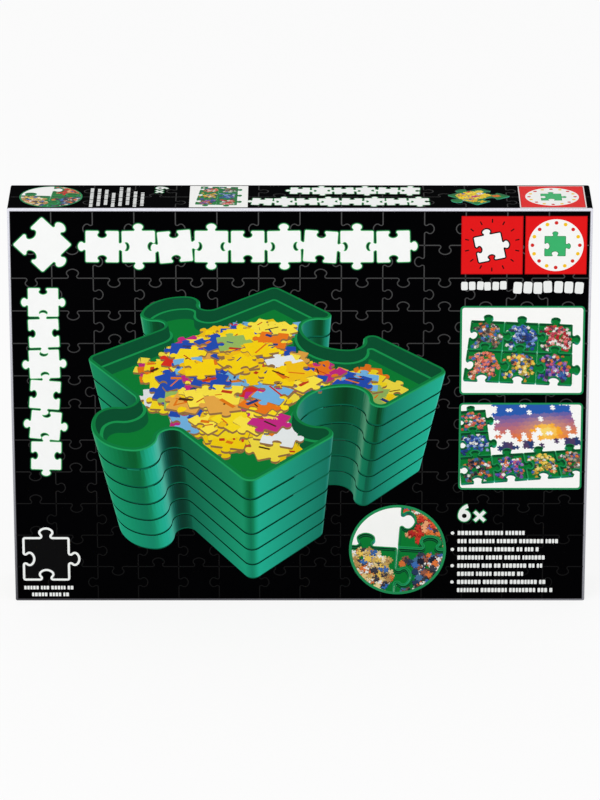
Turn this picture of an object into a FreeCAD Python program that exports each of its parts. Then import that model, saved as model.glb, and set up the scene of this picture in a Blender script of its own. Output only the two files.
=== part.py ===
"""A lift-off lid box for jigsaw accessories, standing on one long edge as it does on a shelf.

The card lid telescopes over a card base. In the base lie six plastic sorting trays, each shaped like one
jigsaw piece: two stacks of three, with the knobs of the left stack locked into the sockets of the right one.

X runs along the width, Y from the printed front to the back, Z up. The origin is the middle of the footprint.
All lengths are millimetres.
"""

import FreeCAD, Part
import math
import os

import Sketcher
from FreeCAD import Placement, Rotation, Vector

TRAYS_IN_A_STACK = 3

SIZES = {
    # one sorting tray, lying flat
    "tray_body": 159.0,  # square part without its knobs
    "knob_reach": 37.0,
    "crown_radius": 28.0,  # flat front of a knob
    "cheek_radius": 11.0,  # round sides of a knob
    "cheek_spread": 12.0,  # half the distance between the cheek centres
    "corner_radius": 6.0,
    "tray_height": 20.0,
    "tray_wall": 1.8,
    "tray_floor": 1.5,
    "nest_gap": 0.5,  # foot to the cavity that takes it
    "lock_gap": 0.8,  # knob to the socket that takes it
    "chord_sag": 0.22,  # how far a chord may stray from its arc
    # card box
    "board": 1.2,  # thickness of the lined card
    "fold_radius": 1.2,  # outside radius of every folded edge
    "lid_gap": 0.4,  # running gap between base wall and lid skirt
    "skirt_short": 0.8,  # the skirt stops this far before the back face
    "side_room": 4.3,  # locked trays to the base's wall, each side
    "top_room": 68.4,  # trays to the base's upper wall
    "front_room": 0.6,  # rim of the front trays to the inside of the lid
    "rim_room": 0.2,  # rim of the base to the inside of the lid
}
# The foot, which drops into the tray below, takes two fifths of the height, and a knob's neck a third of
# the way up to its cheeks. The box is as large as what it holds, its clearances and its walls.
DERIVED = {
    "foot_height": "0.4 * tray_height",
    "cheek_rise": "sqrt((crown_radius - cheek_radius) ^ 2 - cheek_spread ^ 2)",
    "neck_radius": "(knob_reach - crown_radius + cheek_rise) / 3",
    "stack_pitch": "tray_height - foot_height",
    "stack_depth": f"tray_height + {TRAYS_IN_A_STACK - 1} * stack_pitch",
    "lock_pitch": "tray_body + lock_gap",
    "locked_width": "lock_pitch + tray_body + knob_reach",
    "wall_pair": "2 * board + lid_gap",
    "box_width": "locked_width + 2 * side_room + 2 * wall_pair",
    "box_height": "tray_body + knob_reach + top_room + 2 * wall_pair",
    "box_depth": "2 * board + stack_depth + front_room",
    "base_inset": "board + lid_gap",
}
LEVEL_EPSILON = 1e-6

doc = FreeCAD.newDocument("puzzle_tray_box")


def make_sheet():
    """The driving dimensions and what follows from them, one named cell each."""
    sheet = doc.addObject("Spreadsheet::Sheet", "Sizes")
    cells = {name: repr(value) for name, value in SIZES.items()}
    cells.update({name: "=" + formula for name, formula in DERIVED.items()})
    for row, (name, content) in enumerate(cells.items(), start=1):
        sheet.set(f"A{row}", name)
        sheet.set(f"B{row}", content)
        sheet.setAlias(f"B{row}", name)
    doc.recompute()
    return sheet


sheet = make_sheet()


def size(name):
    return float(sheet.get(name))


def origin_plane(body, role):
    """One of a body's own origin planes, such as XY_Plane."""
    return next(f for f in body.Origin.OriginFeatures if f.Role == role)


def new_sketch(body, name, role):
    sketch = body.newObject("Sketcher::SketchObject", name)
    sketch.AttachmentSupport = [(origin_plane(body, role), "")]
    sketch.MapMode = "FlatFace"
    return sketch


def add_centred_rectangle(sketch, width, height):
    """A rectangle about the sketch's origin, its two sides bound to expressions of the sheet."""
    x, y = 50.0, 40.0
    corners = [Vector(-x, -y), Vector(x, -y), Vector(x, y), Vector(-x, y)]
    for start, end in zip(corners, corners[1:] + corners[:1]):
        sketch.addGeometry(Part.LineSegment(start, end), False)
    constrain = sketch.addConstraint
    for edge in range(4):
        constrain(Sketcher.Constraint("Coincident", edge, 2, (edge + 1) % 4, 1))
    for edge in (0, 2):
        constrain(Sketcher.Constraint("Horizontal", edge))
    for edge in (1, 3):
        constrain(Sketcher.Constraint("Vertical", edge))
    constrain(Sketcher.Constraint("Symmetric", 0, 1, 1, 2, -1, 1))
    across = constrain(Sketcher.Constraint("DistanceX", 0, 1, 0, 2, 2 * x))
    sketch.setExpression(f"Constraints[{across}]", width)
    up = constrain(Sketcher.Constraint("DistanceY", 1, 1, 1, 2, 2 * y))
    sketch.setExpression(f"Constraints[{up}]", height)


def folded_card_box(name, width, height, depth, open_towards_back):
    """A five-sided card box: a panel and four walls folded up round it.

    It is padded from the panel's outside face, its folds are rounded, and a pocket one board short of the
    outside leaves the panel and the walls. In its own frame the panel lies in the XZ plane and the walls
    run along +Y, or along -Y for the base, whose panel is at the back.
    """
    body = doc.addObject("PartDesign::Body", name)
    outside = new_sketch(body, name + "_outside", "XZ_Plane")
    add_centred_rectangle(outside, width, height)
    pad = body.newObject("PartDesign::Pad", name + "_block")
    pad.Profile = outside
    pad.setExpression("Length", depth)
    pad.Reversed = open_towards_back
    doc.recompute()

    panel_y = 0.0
    along_y = [
        f"Edge{i}"
        for i, edge in enumerate(pad.Shape.Edges, start=1)
        if abs(edge.tangentAt(edge.FirstParameter).y) > 0.5
    ]
    on_panel = [
        f"Edge{i}"
        for i, edge in enumerate(pad.Shape.Edges, start=1)
        if abs(edge.BoundBox.YMin - panel_y) < LEVEL_EPSILON and edge.BoundBox.YLength < LEVEL_EPSILON
    ]
    folds = body.newObject("PartDesign::Fillet", name + "_folds")
    folds.Base = (pad, along_y + on_panel)
    folds.setExpression("Radius", "Sizes.fold_radius")

    inside = new_sketch(body, name + "_inside", "XZ_Plane")
    add_centred_rectangle(inside, f"{width} - 2 * Sizes.board", f"{height} - 2 * Sizes.board")
    side = "-" if open_towards_back else ""
    inside.setExpression("AttachmentOffset.Base.z", f"{side}(Sizes.board)")
    hollow = body.newObject("PartDesign::Pocket", name + "_hollow")
    hollow.Profile = inside
    hollow.setExpression("Length", depth)
    hollow.Reversed = not open_towards_back
    doc.recompute()
    if hollow.Shape.Volume > 0.5 * pad.Shape.Volume:
        raise RuntimeError(f"the pocket of {name} points away from the solid")
    return body


def make_lid():
    """The printed lid: its panel is the front of the box, its skirt reaches nearly to the back."""
    lid = folded_card_box(
        "lid",
        "Sizes.box_width",
        "Sizes.box_height",
        "Sizes.box_depth - Sizes.skirt_short",
        open_towards_back=True,
    )
    lid.setExpression("Placement.Base.y", "-Sizes.box_depth / 2")
    lid.setExpression("Placement.Base.z", "Sizes.box_height / 2")
    return lid


def make_base():
    """The base slides into the lid. Its panel is the back of the box."""
    base = folded_card_box(
        "base",
        "Sizes.box_width - 2 * Sizes.base_inset",
        "Sizes.box_height - 2 * Sizes.base_inset",
        "Sizes.box_depth - Sizes.board - Sizes.rim_room",
        open_towards_back=False,
    )
    base.setExpression("Placement.Base.y", "Sizes.box_depth / 2")
    base.setExpression("Placement.Base.z", "Sizes.box_height / 2")
    return base


class JigsawOutline:
    """The outline of one jigsaw piece, with knobs on its +X and +Y sides and sockets on -X and -Y.

    It is made of straight sides and tangent arcs. An inset keeps every centre and changes only the radii, so
    outlines of any inset stay parallel, and a socket is the neighbour's knob grown by the lock gap. The arcs
    are drawn as chords, and their number depends on the outermost outline alone, so that chords stay
    parallel too and a stack of trays stays light.
    """

    def __init__(self):
        self.half = size("tray_body") / 2
        self.corner = size("corner_radius")
        self.lock_gap = size("lock_gap")
        self.crown = size("crown_radius")
        self.cheek = size("cheek_radius")
        self.neck = size("neck_radius")
        self.sag = size("chord_sag")
        spread = size("cheek_spread")
        crown_y = size("knob_reach") - self.crown
        cheek_y = crown_y + size("cheek_rise")
        neck_to_cheek = self.cheek + self.neck
        neck_x = spread + math.sqrt(neck_to_cheek**2 - (cheek_y - self.neck) ** 2)
        self.crown_centre = (0.0, crown_y)
        self.cheek_centre = (spread, cheek_y)
        self.neck_centre = (neck_x, self.neck)
        self.waist_angle = math.atan2(cheek_y - self.neck, neck_x - spread)
        self.brow_angle = math.atan2(cheek_y - crown_y, spread)

    def chords(self, centre, drawn_radius, radius, start, end):
        """Points along an arc, its two ends included. The drawn radius sets how many."""
        step = 2 * math.acos(1 - self.sag / drawn_radius)
        count = math.ceil(abs(end - start) / step)
        turns = (start + (end - start) * i / count for i in range(count + 1))
        return [(centre[0] + radius * math.cos(t), centre[1] + radius * math.sin(t)) for t in turns]

    def knob(self, grow):
        """A knob from its left foot to its right one, with the side it stands on at y = 0."""
        neck, cheek, crown = self.neck - grow, self.cheek + grow, self.crown + grow
        waist, brow = self.waist_angle, self.brow_angle
        half = self.chords(self.crown_centre, self.crown, crown, 0.5 * math.pi, brow)
        half += self.chords(self.cheek_centre, self.cheek, cheek, brow, -waist)[1:]
        half += self.chords(self.neck_centre, self.neck, neck, math.pi - waist, 1.5 * math.pi)[1:]
        return [(-x, y) for x, y in reversed(half[1:])] + half

    def side(self, inset, is_knob):
        """One side from left to right, as it lies on top of the piece."""
        if is_knob:
            return [(x, self.half + y) for x, y in self.knob(-inset)]
        return [(x, self.half + self.lock_gap - y) for x, y in self.knob(self.lock_gap + inset)]

    def points(self, inset):
        """The closed outline, counter-clockwise: each side is followed by the corner at its left end."""
        straight = self.half - self.corner
        corner = self.chords(
            (-straight, straight), self.corner, self.corner - inset, 0.5 * math.pi, math.pi
        )
        outline = []
        for quarter, is_knob in enumerate((True, False, False, True)):
            turn = Rotation(Vector(0, 0, 1), 90.0 * quarter)
            run = list(reversed(self.side(inset, is_knob))) + corner
            outline += [turn.multVec(Vector(x, y, 0)) for x, y in run]
        return outline


def outline_sketch(body, name, inset, height):
    """The jigsaw outline at an inset, lifted to a height that is bound to the sheet."""
    sketch = new_sketch(body, name, "XY_Plane")
    points = JigsawOutline().points(inset)
    lines = [Part.LineSegment(a, b) for a, b in zip(points, points[1:] + points[:1])]
    sketch.addGeometry(lines, False)
    sketch.setExpression("AttachmentOffset.Base.z", height)
    return sketch


def pad_outline(body, name, inset, start, height):
    """Material from one level upwards, inside the jigsaw outline at an inset."""
    pad = body.newObject("PartDesign::Pad", name)
    pad.Profile = outline_sketch(body, name + "_outline", inset, start)
    pad.setExpression("Length", height)
    return pad


def pocket_outline(body, name, inset, start, depth):
    """A cavity from one level downwards, inside the jigsaw outline at an inset."""
    pocket = body.newObject("PartDesign::Pocket", name)
    pocket.Profile = outline_sketch(body, name + "_outline", inset, start)
    pocket.setExpression("Length", depth)
    return pocket


def make_tray_master():
    """One moulded tray. Its foot is one wall and one gap smaller than its rim, so that it drops into the
    tray below until its shoulder sits on that tray's rim, and the inside steps in at a ledge to match."""
    body = doc.addObject("PartDesign::Body", "tray_master")
    wall = size("tray_wall")
    foot_inset = wall + size("nest_gap")
    foot = "Sizes.foot_height"
    rim = "Sizes.tray_height"
    ledge = "(Sizes.foot_height + Sizes.tray_floor)"
    pad_outline(body, "foot", foot_inset, "0 mm", foot)
    pad_outline(body, "rim_band", 0.0, foot, f"{rim} - {foot}")
    pocket_outline(body, "rim_cavity", wall, rim, f"{rim} - {ledge}")
    pocket_outline(body, "foot_cavity", foot_inset + wall, ledge, f"{ledge} - Sizes.tray_floor")
    return body


def copy_of(master, label):
    """A body whose base is the master's shape, so that all copies follow it."""
    body = doc.addObject("PartDesign::Body", label)
    base = doc.addObject("PartDesign::FeatureBase", label + "_base")
    base.BaseFeature = master
    body.Group = [base]
    body.Tip = base
    return body


def make_trays(master):
    """Two stacks of three, open towards the lid, standing on the inside of the base's lower wall."""
    trays = []
    first_x = "-Sizes.locked_width / 2 + Sizes.tray_body / 2"
    floor_y = "Sizes.box_depth / 2 - Sizes.board"
    for stack in range(2):
        for level in range(TRAYS_IN_A_STACK):
            tray = copy_of(master, f"sorting_tray_{len(trays) + 1}")
            tray.Placement = Placement(Vector(), Rotation(Vector(1, 0, 0), 90))
            column = f"{first_x} + {stack} * Sizes.lock_pitch"
            depth = f"{floor_y} - {level} * Sizes.stack_pitch"
            tray.setExpression("Placement.Base.x", column)
            tray.setExpression("Placement.Base.y", depth)
            tray.setExpression("Placement.Base.z", "Sizes.wall_pair + Sizes.tray_body / 2")
            trays.append(tray)
    return trays


def check_document():
    failed = [o.Name for o in doc.Objects if {"Invalid", "Error"} & set(o.State)]
    if failed:
        raise RuntimeError(f"these objects failed: {failed}")


def write_parts(parts):
    os.makedirs("parts", exist_ok=True)
    for part in parts:
        shape = part.Shape
        if shape.isNull() or not shape.isValid() or not shape.Solids:
            raise RuntimeError(f"{part.Label} has no valid solid")
        shape.exportStep(f"parts/{part.Label}.step")
        box = shape.BoundBox
        print(
            f"{part.Label}: {len(shape.Solids)} solid, {shape.Volume / 1000:.1f} cm3,"
            f" x {box.XMin:.1f}..{box.XMax:.1f} y {box.YMin:.1f}..{box.YMax:.1f} z {box.ZMin:.1f}..{box.ZMax:.1f}"
        )


lid = make_lid()
base = make_base()
tray_master = make_tray_master()
doc.recompute()
trays = make_trays(tray_master)
doc.recompute()
check_document()
write_parts([lid, base] + trays)
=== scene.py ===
# %% [markdown]
# # A boxed set of jigsaw sorting trays
#
# The object is a flat card box that stands on one long edge. A printed lid telescopes over a plain base,
# and six moulded plastic trays lie nested inside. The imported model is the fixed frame: its bodies, nodes and
# sizes are only read here, and each visible piece is built over the node that it stands for.

# %% Load the frame
import math
import random

import bpy
from mathutils import Matrix, Vector
from mathutils.geometry import delaunay_2d_cdt


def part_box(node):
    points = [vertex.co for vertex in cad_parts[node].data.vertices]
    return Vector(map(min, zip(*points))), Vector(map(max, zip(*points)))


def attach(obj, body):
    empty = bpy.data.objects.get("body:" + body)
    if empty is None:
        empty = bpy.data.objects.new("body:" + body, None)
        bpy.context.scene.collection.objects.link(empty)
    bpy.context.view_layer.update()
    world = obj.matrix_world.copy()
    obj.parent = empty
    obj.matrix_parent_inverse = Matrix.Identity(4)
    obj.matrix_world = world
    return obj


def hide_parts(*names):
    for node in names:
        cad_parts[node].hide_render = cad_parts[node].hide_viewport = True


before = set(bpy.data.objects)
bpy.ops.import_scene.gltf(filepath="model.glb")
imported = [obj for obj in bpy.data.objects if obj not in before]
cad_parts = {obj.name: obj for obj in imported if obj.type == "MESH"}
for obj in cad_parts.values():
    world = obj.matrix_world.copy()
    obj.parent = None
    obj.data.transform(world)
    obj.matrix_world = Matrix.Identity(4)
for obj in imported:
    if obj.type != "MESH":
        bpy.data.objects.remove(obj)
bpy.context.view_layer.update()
MM = 0.001
print("nodes:", sorted(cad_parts))

# %% [markdown]
# ## The camera
#
# The box is seen square on from a little above, so that the front is nearly a true rectangle and the top is
# a thin strip. A long lens far away does that without any lens shift, which would push the box out of every
# other view. Lengths are in metres here, as they are in the frame.

# %% Place the camera
VIEW_DISTANCE = 3.2
VIEW_ELEVATION = math.radians(21.5)
AIM_HEIGHT = 0.1312
FRONT_BEFORE_AIM = 0.022
FRONT_WIDTH_IN_PIXELS = 578
FRAME_HEIGHT_IN_PIXELS = 800


def place_camera():
    camera = bpy.data.objects.new("camera", bpy.data.cameras.new("camera"))
    bpy.context.scene.collection.objects.link(camera)
    bpy.context.scene.camera = camera
    aim = Vector((0.0, 0.0, AIM_HEIGHT))
    back = Vector((0.0, -math.cos(VIEW_ELEVATION), math.sin(VIEW_ELEVATION)))
    camera.location = aim + back * VIEW_DISTANCE
    camera.rotation_mode = "QUATERNION"
    camera.rotation_quaternion = (-back).to_track_quat("-Z", "Y")
    low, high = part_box("lid")
    pixels_per_metre = FRONT_WIDTH_IN_PIXELS / (high[0] - low[0])
    focal_pixels = pixels_per_metre * (VIEW_DISTANCE - FRONT_BEFORE_AIM)
    camera.data.sensor_width = 36.0
    camera.data.lens = focal_pixels * camera.data.sensor_width / FRAME_HEIGHT_IN_PIXELS
    camera.data.clip_end = 50.0
    print(f"lens {camera.data.lens:.0f} mm")


place_camera()

# %% [markdown]
# ## Small helpers
#
# Every piece below is a plain mesh in millimetres that is scaled to metres once. Its object stays at the
# origin, so its place is in its vertices. A node helper keeps the material and geometry trees readable.


# %% Mesh and node helpers
def add_piece(name, points, faces, body, material):
    """A mesh piece from points in millimetres, riding on a body and taking its finish from a slot."""
    mesh = bpy.data.meshes.new(name)
    mesh.from_pydata([Vector(p) * MM for p in points], [], faces)
    mesh.update()
    piece = bpy.data.objects.new(name, mesh)
    bpy.context.scene.collection.objects.link(piece)
    mesh.materials.append(material)
    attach(piece, body)
    return piece


def node(tree, kind, inputs=None, **settings):
    """A node with its settings made and its inputs either linked or set."""
    made = tree.nodes.new(kind)
    for name, value in settings.items():
        setattr(made, name, value)
    for name, value in (inputs or {}).items():
        if isinstance(value, bpy.types.NodeSocket):
            tree.links.new(value, made.inputs[name])
        else:
            made.inputs[name].default_value = value
    return made


def new_material(name):
    """An empty node material with its shader, ready for the texture nodes."""
    material = bpy.data.materials.new(name)
    material.use_nodes = True
    shader = material.node_tree.nodes["Principled BSDF"]
    return material, material.node_tree, shader


def ink(red, green, blue):
    """A printer's colour as a screen shows it, 0 to 255, turned into linear light."""
    shares = (red / 255, green / 255, blue / 255)
    return tuple(c / 12.92 if c <= 0.04045 else ((c + 0.055) / 1.055) ** 2.4 for c in shares)


print(f"middle grey as linear light: {ink(128, 128, 128)[0]:.3f}")


# %% [markdown]
# ## Card finishes
#
# The lid is grey board wrapped in coated black paper. Coated paper is not one flat tone: its fibres give a
# fine tooth, the board below waves very slightly, and folds rub pale. A painted highlight lies on the folds
# too, brightest on the top front fold. The pale wear and the painted highlight are one value stored on the
# mesh, so that they follow the folds, and noise breaks it up. The shine is kept low, because a strong one
# would turn the deep black grey.


# %% The surface of paper
def paper_surface(tree, shader, place, tooth):
    """Bumps for the board's slow wave and the fine tooth of the fibres. Returns the fibres."""
    fibre = node(tree, "ShaderNodeTexNoise", {"Vector": place, "Scale": 1900.0, "Detail": 3.0})
    wave = node(tree, "ShaderNodeTexNoise", {"Vector": place, "Scale": 14.0, "Detail": 1.0})
    swell = node(tree, "ShaderNodeBump", {"Height": wave.outputs[0], "Strength": 0.25, "Distance": 0.0006})
    over = {"Height": fibre.outputs[0], "Strength": tooth, "Distance": 0.00006, "Normal": swell.outputs[0]}
    grain = node(tree, "ShaderNodeBump", over)
    tree.links.new(grain.outputs[0], shader.inputs["Normal"])
    return fibre


def cloudy_gloss(tree, shader, cloud, low, high):
    """A roughness that drifts between two values with a cloud of noise."""
    gloss = node(tree, "ShaderNodeMapRange", {"Value": cloud.outputs[0], "To Min": low, "To Max": high})
    tree.links.new(gloss.outputs[0], shader.inputs["Roughness"])


# %% Black wrapping paper, white lining paper and the base's dull paper
# The pale ink of worn folds, which is also laid on them as a painted highlight.
PALE_WEAR_AND_HIGHLIGHT = ink(238, 238, 248)


def paper_finish(name, dark, light, roughness, shine, tooth):
    """Paper over board: two close tones, a fine tooth, and the mesh's pale wear and painted highlight."""
    material, tree, shader = new_material(name)
    place = node(tree, "ShaderNodeTexCoord").outputs["Object"]
    cloud = node(tree, "ShaderNodeTexNoise", {"Vector": place, "Scale": 60.0, "Detail": 4.0})
    fibre = paper_surface(tree, shader, place, tooth).outputs[0]
    cloudy_gloss(tree, shader, cloud, roughness - 0.05, roughness + 0.05)
    tones = {"Factor": cloud.outputs[0], "A": (*dark, 1.0), "B": (*light, 1.0)}
    tone = node(tree, "ShaderNodeMix", tones, data_type="RGBA")
    # The mesh's share of pale wear and painted highlight, broken up by the fibres.
    wear_and_highlight = node(tree, "ShaderNodeAttribute", attribute_name="wear_and_highlight")
    contrast = {"Value": fibre, "From Min": 0.3, "From Max": 0.6, "To Min": 0.75}
    broken = node(tree, "ShaderNodeMapRange", contrast)
    both = {0: wear_and_highlight.outputs["Fac"], 1: broken.outputs[0]}
    wear_and_highlight_amount = node(tree, "ShaderNodeMath", both, operation="MULTIPLY", use_clamp=True)
    layers = {"Factor": wear_and_highlight_amount.outputs[0], "A": tone.outputs[2], "B": (*PALE_WEAR_AND_HIGHLIGHT, 1.0)}
    pale = node(tree, "ShaderNodeMix", layers, data_type="RGBA")
    tree.links.new(pale.outputs[2], shader.inputs["Base Color"])
    shader.inputs["Specular IOR Level"].default_value = shine
    print(f"{name}: roughness about {roughness}, shine {shine}")
    return material


black_wrap = paper_finish("black_wrap", ink(2, 2, 3), ink(4, 4, 5), 0.55, 0.001, 0.3)
lining = paper_finish("white_lining", ink(196, 194, 188), ink(208, 206, 200), 0.7, 0.25, 0.5)
base_wrap = paper_finish("base_wrap", ink(20, 20, 22), ink(27, 27, 29), 0.6, 0.2, 0.5)

# %% [markdown]
# ## The lid
#
# The real lid is one blank of board, cut at its corners, folded up on four sides and wrapped. Its folds are
# about as round as the board is thick. Here the shell is lofted from rounded rectangles: a quarter circle of
# rings makes each fold, a few rings more turn over the open edge, and the inside goes back to the panel. The
# wrap turns in over the edge, so the inside near the edge is black and the rest is lined. The shell stays a
# quarter millimetre inside the CAD box, which leaves room for the printed films.

# %% Sizes of the lid
LOW, HIGH = (Vector(corner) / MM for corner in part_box("lid"))
PRINT_ROOM = 0.24
HALF_WIDTH = HIGH.x - PRINT_ROOM
TOP = HIGH.z - PRINT_ROOM
FRONT = LOW.y + PRINT_ROOM
SKIRT_END = HIGH.y
BOARD = 1.2
WALL_INSET = HALF_WIDTH - (HIGH.x - BOARD)
FOLD = BOARD
print(f"lid: {2 * HIGH.x:.1f} x {HIGH.z:.1f} x {HIGH.y - LOW.y:.1f} mm")


# %% Rounded rectangles and their loft
def rounded_rectangle(inset, radius, steps=5):
    """Points (x, z) round the lid's outline, counter-clockwise as the front shows it."""
    half_x, half_z = HALF_WIDTH - inset, TOP / 2 - inset
    points = []
    for turn, (sx, sz) in enumerate(((1, 1), (-1, 1), (-1, -1), (1, -1))):
        for i in range(steps + 1):
            angle = math.radians(90 * turn + 90 * i / steps)
            x = sx * (half_x - radius) + radius * math.cos(angle)
            z = sz * (half_z - radius) + radius * math.sin(angle)
            points.append((x, z + TOP / 2))
    return points


def loft(rings, count, clockwise=False):
    """Faces between rings that have as many points each, closed by one face at both ends."""
    first, last = tuple(range(count)), tuple(range((rings - 1) * count, rings * count))
    faces = [first[::-1] if clockwise else first]
    for r in range(rings - 1):
        a, b = r * count, (r + 1) * count
        for i in range(count):
            j = (i + 1) % count
            faces.append((a + i, a + j, b + j, b + i) if clockwise else (a + i, b + i, b + j, a + j))
    faces.append(last if clockwise else last[::-1])
    return faces


def smooth_folds(piece, angle=40.0):
    """Round folds shade smoothly, while large flat faces keep their own flat shading."""
    piece.data.polygons.foreach_set("use_smooth", [True] * len(piece.data.polygons))
    piece.data.set_sharp_from_angle(angle=math.radians(angle))
    weigh = piece.modifiers.new("weigh", "WEIGHTED_NORMAL")
    weigh.keep_sharp = True
    evaluated = piece.evaluated_get(bpy.context.evaluated_depsgraph_get())
    done = bpy.data.meshes.new_from_object(evaluated)
    piece.modifiers.remove(weigh)
    piece.data = done


print("faces of a loft of 3 rings of 4:", len(loft(3, 4)))

# %% The lid's shell
PANEL_RIM, SHARP, FOLD_STEPS, TURN_IN = 0.6, 0.01, 6, 16.0


def shell_rings():
    """(inset, y, corner radius, share of pale wear and painted highlight) from the front panel's edge to the
    inside panel's.
    """
    rings = [(FOLD + PANEL_RIM, FRONT, SHARP, 0.0)]
    for i in range(FOLD_STEPS + 1):
        angle = math.radians(90 * i / FOLD_STEPS)
        inset = FOLD * (1 - math.sin(angle))
        y = FRONT + FOLD * (1 - math.cos(angle))
        # The fold's rings take the full share of pale wear and painted highlight.
        rings.append((inset, y, max(FOLD * math.sin(angle), 2 * SHARP), 1.0))
    rings.append((0.0, FRONT + 2.0, FOLD, 0.0))
    rings.append((0.0, SKIRT_END - 0.4, FOLD, 0.0))
    rings.append((0.1, SKIRT_END - 0.1, FOLD - 0.1, 0.55))
    rings.append((0.35, SKIRT_END, FOLD - 0.35, 0.45))
    rings.append((WALL_INSET - 0.3, SKIRT_END, 0.4, 0.2))
    rings.append((WALL_INSET, SKIRT_END - 0.3, 0.3, 0.0))
    rings.append((WALL_INSET, SKIRT_END - TURN_IN, 0.3, 0.0))
    rings.append((WALL_INSET, FRONT + WALL_INSET, 0.3, 0.0))
    return rings


def wear_and_highlight_share(x, y, z):
    """The top front fold gets most pale wear and painted highlight, the right one less and the others hardly.
    """
    if y > 0:
        return 0.5
    if z > TOP - 2 * FOLD:
        return 1.0
    return 0.35 if x > HALF_WIDTH - 2 * FOLD else 0.12


def build_lid():
    rings = shell_rings()
    points, wear_and_highlight_shares = [], []
    for inset, y, radius, wear_and_highlight in rings:
        for x, z in rounded_rectangle(inset, radius):
            points.append((x, y, z))
            wear_and_highlight_shares.append(wear_and_highlight * wear_and_highlight_share(x, y, z))
    count = len(points) // len(rings)
    lid = add_piece("lid_card", points, loft(len(rings), count), "lid", black_wrap)
    lid.data.materials.append(lining)
    lined = count + 1
    for face in list(lid.data.polygons)[-lined:]:
        face.material_index = 1
    # The stored value lays pale wear and a painted highlight along the folds.
    lid.data.attributes.new("wear_and_highlight", "FLOAT", "POINT").data.foreach_set("value", wear_and_highlight_shares)
    smooth_folds(lid)
    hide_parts("lid")
    print(f"lid: {len(rings)} rings of {count} points")


build_lid()

# %% [markdown]
# ## The base
#
# The base keeps the mesh of its CAD node, whose walls and folds are right. It only gets its finish: plain
# dark card with a duller face than the coated lid.

# %% Finish of the base
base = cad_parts["base"]
base.data.materials.clear()
base.data.materials.append(base_wrap)
print(f"base: {len(base.data.polygons)} faces")

# %% [markdown]
# ## One jigsaw outline for everything
#
# Each tray has the outline of a jigsaw piece, and so have the small pieces in the print. One function draws
# it from tangent arcs: a flat crown, two round cheeks and two hollow necks to a side. An inset changes only
# the radii, so outlines of any inset run parallel, which is what a moulded wall needs.

# %% Draw a jigsaw outline
BODY, REACH, CORNER, LOCK_GAP = 159.0, 37.0, 6.0, 0.8
CROWN, CHEEK, SPREAD = 28.0, 11.0, 12.0
CHEEK_Y = REACH - CROWN + math.sqrt((CROWN - CHEEK) ** 2 - SPREAD**2)
NECK = CHEEK_Y / 3
NECK_X = SPREAD + math.sqrt((CHEEK + NECK) ** 2 - (CHEEK_Y - NECK) ** 2)
KNOB, SOCKET = 1, -1
TRAY_SIDES = (KNOB, SOCKET, SOCKET, KNOB)
LEAST_STEP_AT_CORNERS = 15


def arc(centre, radius, start, end, step):
    """Points along an arc from one angle to the other, in degrees, both ends included."""
    count = max(1, math.ceil(abs(end - start) / step))
    angles = (math.radians(start + (end - start) * i / count) for i in range(count + 1))
    return [(centre[0] + radius * math.cos(a), centre[1] + radius * math.sin(a)) for a in angles]


def knob_points(grow, step):
    """A knob from left to right, standing on y = 0."""
    waist = math.degrees(math.atan2(CHEEK_Y - NECK, NECK_X - SPREAD))
    brow = math.degrees(math.atan2(CHEEK_Y - (REACH - CROWN), SPREAD))
    half = arc((0, REACH - CROWN), CROWN + grow, 90, brow, step / 2)
    if grow < NECK:
        half += arc((SPREAD, CHEEK_Y), CHEEK + grow, brow, -waist, step)[1:]
        half += arc((NECK_X, NECK), NECK - grow, 180 - waist, 270, step)[1:]
    else:
        meets_side = math.degrees(math.asin((grow - CHEEK_Y) / (CHEEK + grow)))
        half += arc((SPREAD, CHEEK_Y), CHEEK + grow, brow, meets_side, step)[1:]
    return [(-x, y) for x, y in reversed(half[1:])] + half


def jigsaw_outline(inset=0.0, step=6.0, sides=TRAY_SIDES):
    """The outline, counter-clockwise. The sides are given in the order top, left, bottom, right."""
    straight = BODY / 2 - CORNER
    outline = []
    for quarter, kind in enumerate(sides):
        run = []
        if kind == KNOB:
            run = [(x, BODY / 2 + y) for x, y in reversed(knob_points(-inset, step))]
        if kind == SOCKET:
            bite = reversed(knob_points(LOCK_GAP + inset, step))
            run = [(x, BODY / 2 + LOCK_GAP - y) for x, y in bite]
        run += arc((-straight, straight), CORNER - inset, 90, 180, max(step, LEAST_STEP_AT_CORNERS))
        for _ in range(quarter):
            run = [(-y, x) for x, y in run]
        outline += run
    return outline


print(f"outline: {len(jigsaw_outline())} points, knob neck {NECK:.2f} mm")

# %% [markdown]
# ## The trays
#
# A tray is injection moulded from green plastic: a stepped wall of even thickness follows the outline, its
# rim and edges are rounded, and the foot is set in so that it drops into the tray below. A loft of one
# outline at many insets and heights gives that wall exactly, with smooth arcs that the lighter CAD model
# leaves as chords.


# %% Moulded plastic
def moulded_plastic(name, colour, deep):
    """Satin plastic: a faint cloudiness in the colour, and the fine spark-eroded grain of a mould."""
    material, tree, shader = new_material(name)
    place = node(tree, "ShaderNodeTexCoord").outputs["Object"]
    cloud = node(tree, "ShaderNodeTexNoise", {"Vector": place, "Scale": 25.0, "Detail": 3.0})
    tones = {"Factor": cloud.outputs[0], "A": (*deep, 1.0), "B": (*colour, 1.0)}
    tone = node(tree, "ShaderNodeMix", tones, data_type="RGBA")
    tree.links.new(tone.outputs[2], shader.inputs["Base Color"])
    grain = node(tree, "ShaderNodeTexNoise", {"Vector": place, "Scale": 2600.0, "Detail": 2.0})
    bump = node(tree, "ShaderNodeBump", {"Height": grain.outputs[0], "Strength": 0.2, "Distance": 0.00004})
    tree.links.new(bump.outputs[0], shader.inputs["Normal"])
    cloudy_gloss(tree, shader, cloud, 0.3, 0.4)
    print(f"{name}: roughness 0.3 to 0.4")
    return material


tray_green = moulded_plastic("tray_green", ink(16, 142, 66), ink(8, 126, 56))

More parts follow.
